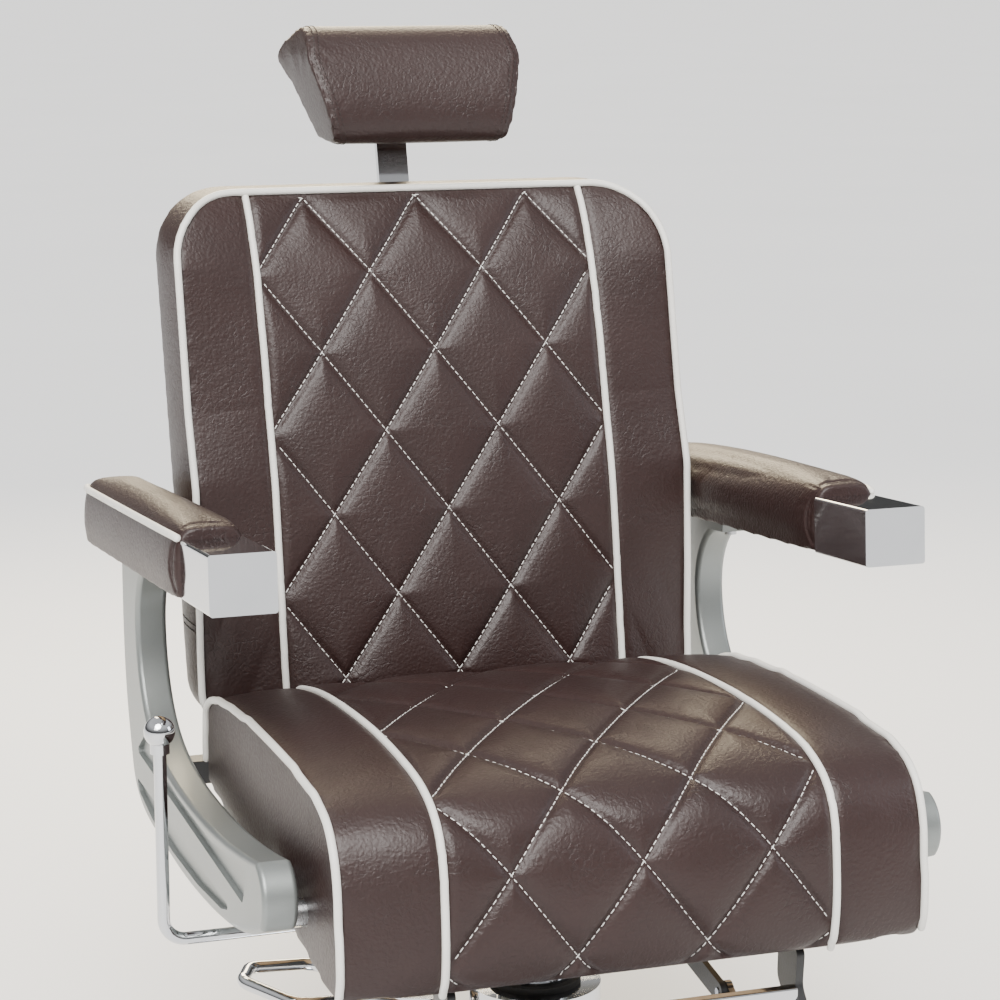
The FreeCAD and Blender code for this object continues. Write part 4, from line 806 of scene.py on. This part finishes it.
def padSection(shrink, tall):
    # (x, up) round the pad: flat underside with the board's channel, full rounded top
    middle, half = (pad["inX"] + pad["outX"]) / 2, (pad["outX"] - pad["inX"]) / 2 * shrink
    a, b, roof = pad["notch"]
    floor = pad["floor"]
    under = [(middle - half * 0.93, floor), (a, floor), (a, roof)]
    under += [(b, roof), (b, floor), (middle + half * 0.93, floor)]
    top = []
    for step in range(1, 28):
        turn = math.pi * step / 28
        c, s = math.cos(turn), math.sin(turn)
        wide = math.copysign(abs(c) ** 0.42, c)
        rise = abs(s) ** 0.56
        top.append((middle + half * wide, floor + 0.001 + (tall * (0.5 + 0.5 * shrink) - floor) * rise))
    return under, top


def makeArmPad(side, name):
    rings = []
    stops = [(-pad["long"], 0.84), (-pad["long"] + 0.003, 0.90), (-pad["long"] + 0.009, 0.95),
             (-pad["long"] + 0.02, 0.98), (-pad["long"] + 0.04, 1.0)]
    stops += [(-t, 1.0) for t in np.linspace(pad["long"] - 0.06, 0.04, 26)]
    stops += [(-0.028, 0.995), (-0.018, 0.975), (-0.0102, 0.95)]
    stops += [(-0.0098, 0.945), (-0.005, 0.905), (-0.001, 0.84)]
    for behind, shrink in stops:
        tall = pad["tall"] + pad["crown"] * math.sin(math.pi * min(1, max(0, -behind / pad["long"])))
        under, top = padSection(shrink, tall)
        if behind > -0.01:  # the channel stops short of the rounded rear end
            under = [(x, pad["floor"]) for x, _ in under]
        rings.append([onArm(side * x, behind, up) for x, up in under + top])
    if side < 0:
        rings = [list(reversed(ring)) for ring in rings]
    piece = skinRings("armPad" + name, rings, finishes["leather"])

    def level(p):
        # back and up in the arm's own sloping frame
        y, z = p[:, 1] - pad["rearY"], p[:, 2] - pad["rearZ"]
        turn = pad["slope"]
        return y * math.cos(turn) - z * math.sin(turn), y * math.sin(turn) + z * math.cos(turn)

    def below(p):
        return level(p)[1] < 0.013

    def held(p):
        along, up = level(p)
        rim = np.hypot(np.abs(p[:, 0]) - pipeX, up - pipeUp) < 0.005
        return below(p) | rim | (along < -pad["long"] + 0.006)

    pipeX, pipeUp = pad["outX"] - 0.0035, pad["tall"] - 0.010
    puff(piece, pad["puff"], held, below)
    where = spots(piece)
    way = outward(piece)
    along, up = level(where)
    # flaps tucked over the metal end: creases bowed away from the front edge on each face
    middle = (pad["inX"] + pad["outX"]) / 2
    over = np.clip((np.abs(where[:, 0]) - middle) / 0.036, -1, 1)
    down = np.clip((up - 0.034) / 0.034, -1, 1)
    bow = np.where(np.abs(way[:, 0]) > 0.6, 1 - down ** 2, 1 - over ** 2)
    height = np.zeros(len(where))
    for reach, deep in pad["creases"]:
        gap = along + pad["long"] - 0.002 - reach * bow
        height -= deep * bow * np.exp(-(gap / 0.0021) ** 2)
    height[up < 0.006] = 0
    moveTo(piece, where + way * height[:, None])
    dressed(piece, "seat", "leather", "arm_pad_" + name.lower())
    skin = surfaceOf(piece)
    route = [(pipeX, t, pipeUp) for t in np.linspace(-pad["long"] + 0.004, -0.03, 40)]
    route += [(pipeX - 0.004, -0.014, pipeUp), (pipeX - 0.012, -0.004, pipeUp - 0.002),
              (pipeX - 0.026, 0.0, pipeUp - 0.004)]
    route += [(pad["inX"] + 0.022, 0.0, pipeUp - 0.004), (pad["inX"] + 0.010, -0.004, pipeUp - 0.003)]
    path = []
    for x, behind, rise in route:
        spot, lift, _, _ = skin.find_nearest(Vector(onArm(side * x, behind, rise)))
        path.append(tuple(spot + lift * pad["pipe"] * 0.35))
    cord = tube("armPiping" + name, evenly(path, 120), pad["pipe"], finishes["white_piping"])
    dressed(cord, "seat", "white_piping")
    print("arm pad made:", name)


makeArmPad(1, "Left")
makeArmPad(-1, "Right")


# head-rest pad: leaning wedge with boxed ends
headLow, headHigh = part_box("headrest_pad")
head = {
    "half": headHigh.x - 0.001, "foot": 0.0945, "plateFace": ((0.084, 0.013), (0.124, 0.058)),
    # over the low corner of the pad's box: (back, up), round the side view
    "side": [(0.0015, 0.020), (0.004, 0.044), (0.017, 0.074), (0.034, 0.102), (0.053, 0.1185),
             (0.080, 0.1235), (0.116, 0.1145), (0.145, 0.1030), (0.161, 0.0900), (0.157, 0.0785),
             (0.137, 0.0665), (0.1235, 0.0575), (0.104, 0.0350),
             (0.0845, 0.0135), (0.071, 0.0045), (0.031, 0.0015), (0.010, 0.0045)],
    "puff": {"voxel": 0.0040, "pressure": 4.0, "tension": 14, "cap": 0.0045, "frames": 20},
}


def headHalf(z):
    return np.interp(z - headLow.z, [0.0, 0.092, 0.124], [head["foot"], head["half"], head["half"] - 0.006])


def makeHead():
    outline = evenly(head["side"], 130, closed=True) + (headLow.y, headLow.z)
    centre = outline.mean(0)
    rings = []
    for x in (-0.995, -1.0, *np.linspace(-0.985, 0.985, 44), 1.0, 0.995):
        shrink = {0.995: 0.55, 1.0: 0.985}.get(abs(x), 1.0)
        hollow = 0.003 * (1 - x * x)
        loop = centre + (outline - centre) * shrink
        front = ease(centre[0] - loop[:, 0], 0.0, 0.05)
        y = loop[:, 0] + hollow * front
        rings.append(np.column_stack([x * headHalf(loop[:, 1]), y, loop[:, 1]]))
    piece = skinRings("headrestUpholstery", rings, finishes["leather"])

    def flatBack(p):
        a, b = (np.array(end) + (headLow.y, headLow.z) for end in head["plateFace"])
        along = (b - a) / np.linalg.norm(b - a)
        off = (p[:, 1:] - a) @ np.array((along[1], -along[0]))
        return off > -0.006

    def rim(p):
        gap = nearestOn(outline[::2], p[:, 1], p[:, 2])[1]
        return (headHalf(p[:, 2]) - np.abs(p[:, 0]) < 0.005) & (gap < 0.006)

    puff(piece, head["puff"], lambda p: rim(p) | flatBack(p), flatBack)
    where = spots(piece)
    way = outward(piece)
    edge = headHalf(where[:, 2]) - np.abs(where[:, 0])
    seam = (np.abs(way[:, 0]) < 0.8) & ~flatBack(where)
    height = np.where(seam, -0.0016 * np.exp(-((edge - 0.004) / 0.0022) ** 2), 0)
    moveTo(piece, where + way * height[:, None])
    dressed(piece, "headrest", "leather", "headrest_pad")
    skin = surfaceOf(piece)
    runs = []
    for side in (-1, 1):
        for inset in (0.0075, 0.0125):
            found = []
            for y, z in evenly(head["side"], 110, closed=True) + (headLow.y, headLow.z):
                x = side * (float(headHalf(z)) - inset)
                out = Vector((0, y - centre[0], z - centre[1])).normalized()
                hit = skin.ray_cast(Vector((x, y, z)) + out * 0.03, -out, 0.06)
                if hit[0] and not flatBack(np.array([hit[0]]))[0]:
                    found.append((hit[0], hit[1]))
            runs.append(runOf(found))
    fine = {**stitch, "radius": 0.0005, "pitch": 0.0058, "length": 0.0042}
    dressed(stitches("headrestTopStitch", runs, fine, darkThread), "headrest", "leather")
    print("head-rest made")


makeHead()


# studio: pale floor, soft lights, a sky that is dark low down, camera
studio = {
    "floor": 90.0,
    "sun": {"turn": (34, -18, 0), "power": 5.0, "spread": 40},
    "sky": [(0.0, 0.06), (0.14, 0.12), (0.34, 0.55), (0.6, 0.95), (1.0, 0.8)],
    # name, place, aim, watts, size, colour
    "lamps": [
        ("key", (-2.2, -2.4, 2.9), (0, 0.1, 0.6), 60, 1.8, (1.0, 0.97, 0.94)),
        ("side", (3.0, -1.2, 1.7), (0, 0.0, 0.6), 24, 1.3, (0.90, 0.93, 1.0)),
        ("rear", (0.5, 2.7, 2.3), (0, 0.0, 0.5), 120, 1.8, (1.0, 0.84, 0.58)),
    ],
}


def makeFloor():
    net = Net("paleFloor")
    tone = net.noise(0.8, 3)
    net.set(Base_Color=net.mix(tone, (0.86, 0.86, 0.865), (0.9, 0.9, 0.9)), Roughness=0.55 + tone * 0.1)
    size = studio["floor"]
    turns = np.linspace(0, 2 * math.pi, 64, endpoint=False)
    rings = [[(r * math.cos(a), r * math.sin(a), -0.0005) for a in turns] for r in (0.01, 1, 5, 20, size)]
    points = [p for ring in rings for p in ring]
    faces = [(i * 64 + j, i * 64 + (j + 1) % 64, (i + 1) * 64 + (j + 1) % 64, (i + 1) * 64 + j)
             for i in range(len(rings) - 1) for j in range(64)]
    faces.append(tuple(reversed(range(64))))
    newPiece("studioFloor", points, faces, net.material)


def makeLamp(name, kind, power, colour):
    data = bpy.data.lights.new(name, kind)
    data.energy = power
    data.color = colour
    lamp = bpy.data.objects.new(name, data)
    scene.collection.objects.link(lamp)
    return lamp


def makeLights():
    for name, spot, aim, power, size, colour in studio["lamps"]:
        lamp = makeLamp(name, "AREA", power, colour)
        lamp.data.size = size
        lamp.location = spot
        lamp.rotation_euler = (Vector(aim) - Vector(spot)).to_track_quat("-Z", "Y").to_euler()
    sun = makeLamp("sun", "SUN", studio["sun"]["power"], (1.0, 0.985, 0.96))
    sun.data.angle = math.radians(studio["sun"]["spread"])
    sun.rotation_euler = [math.radians(turn) for turn in studio["sun"]["turn"]]
    # bright overhead, dark towards the horizon, so that polished metal has something to mirror
    sky = Net("studioSky", world=True)
    height = sky.add("SeparateXYZ", {}, [sky.place], "Z")
    sky.set(Color=sky.ramp(height, studio["sky"]), Strength=0.9)
    scene.world = sky.material


view = {
    "lens": 100.8, "sensor": 36, "reach": 300,
    "place": (-0.896, -2.496, 1.267), "down": 10.94, "turn": -19.0,
}


def makeCamera():
    data = bpy.data.cameras.new("camera")
    data.lens = view["lens"]
    data.sensor_width = view["sensor"]
    data.clip_end = view["reach"]
    camera = bpy.data.objects.new("camera", data)
    camera.location = view["place"]
    camera.rotation_euler = (math.radians(90 - view["down"]), 0, math.radians(view["turn"]))
    scene.collection.objects.link(camera)
    scene.camera = camera


makeFloor()
makeLights()
makeCamera()
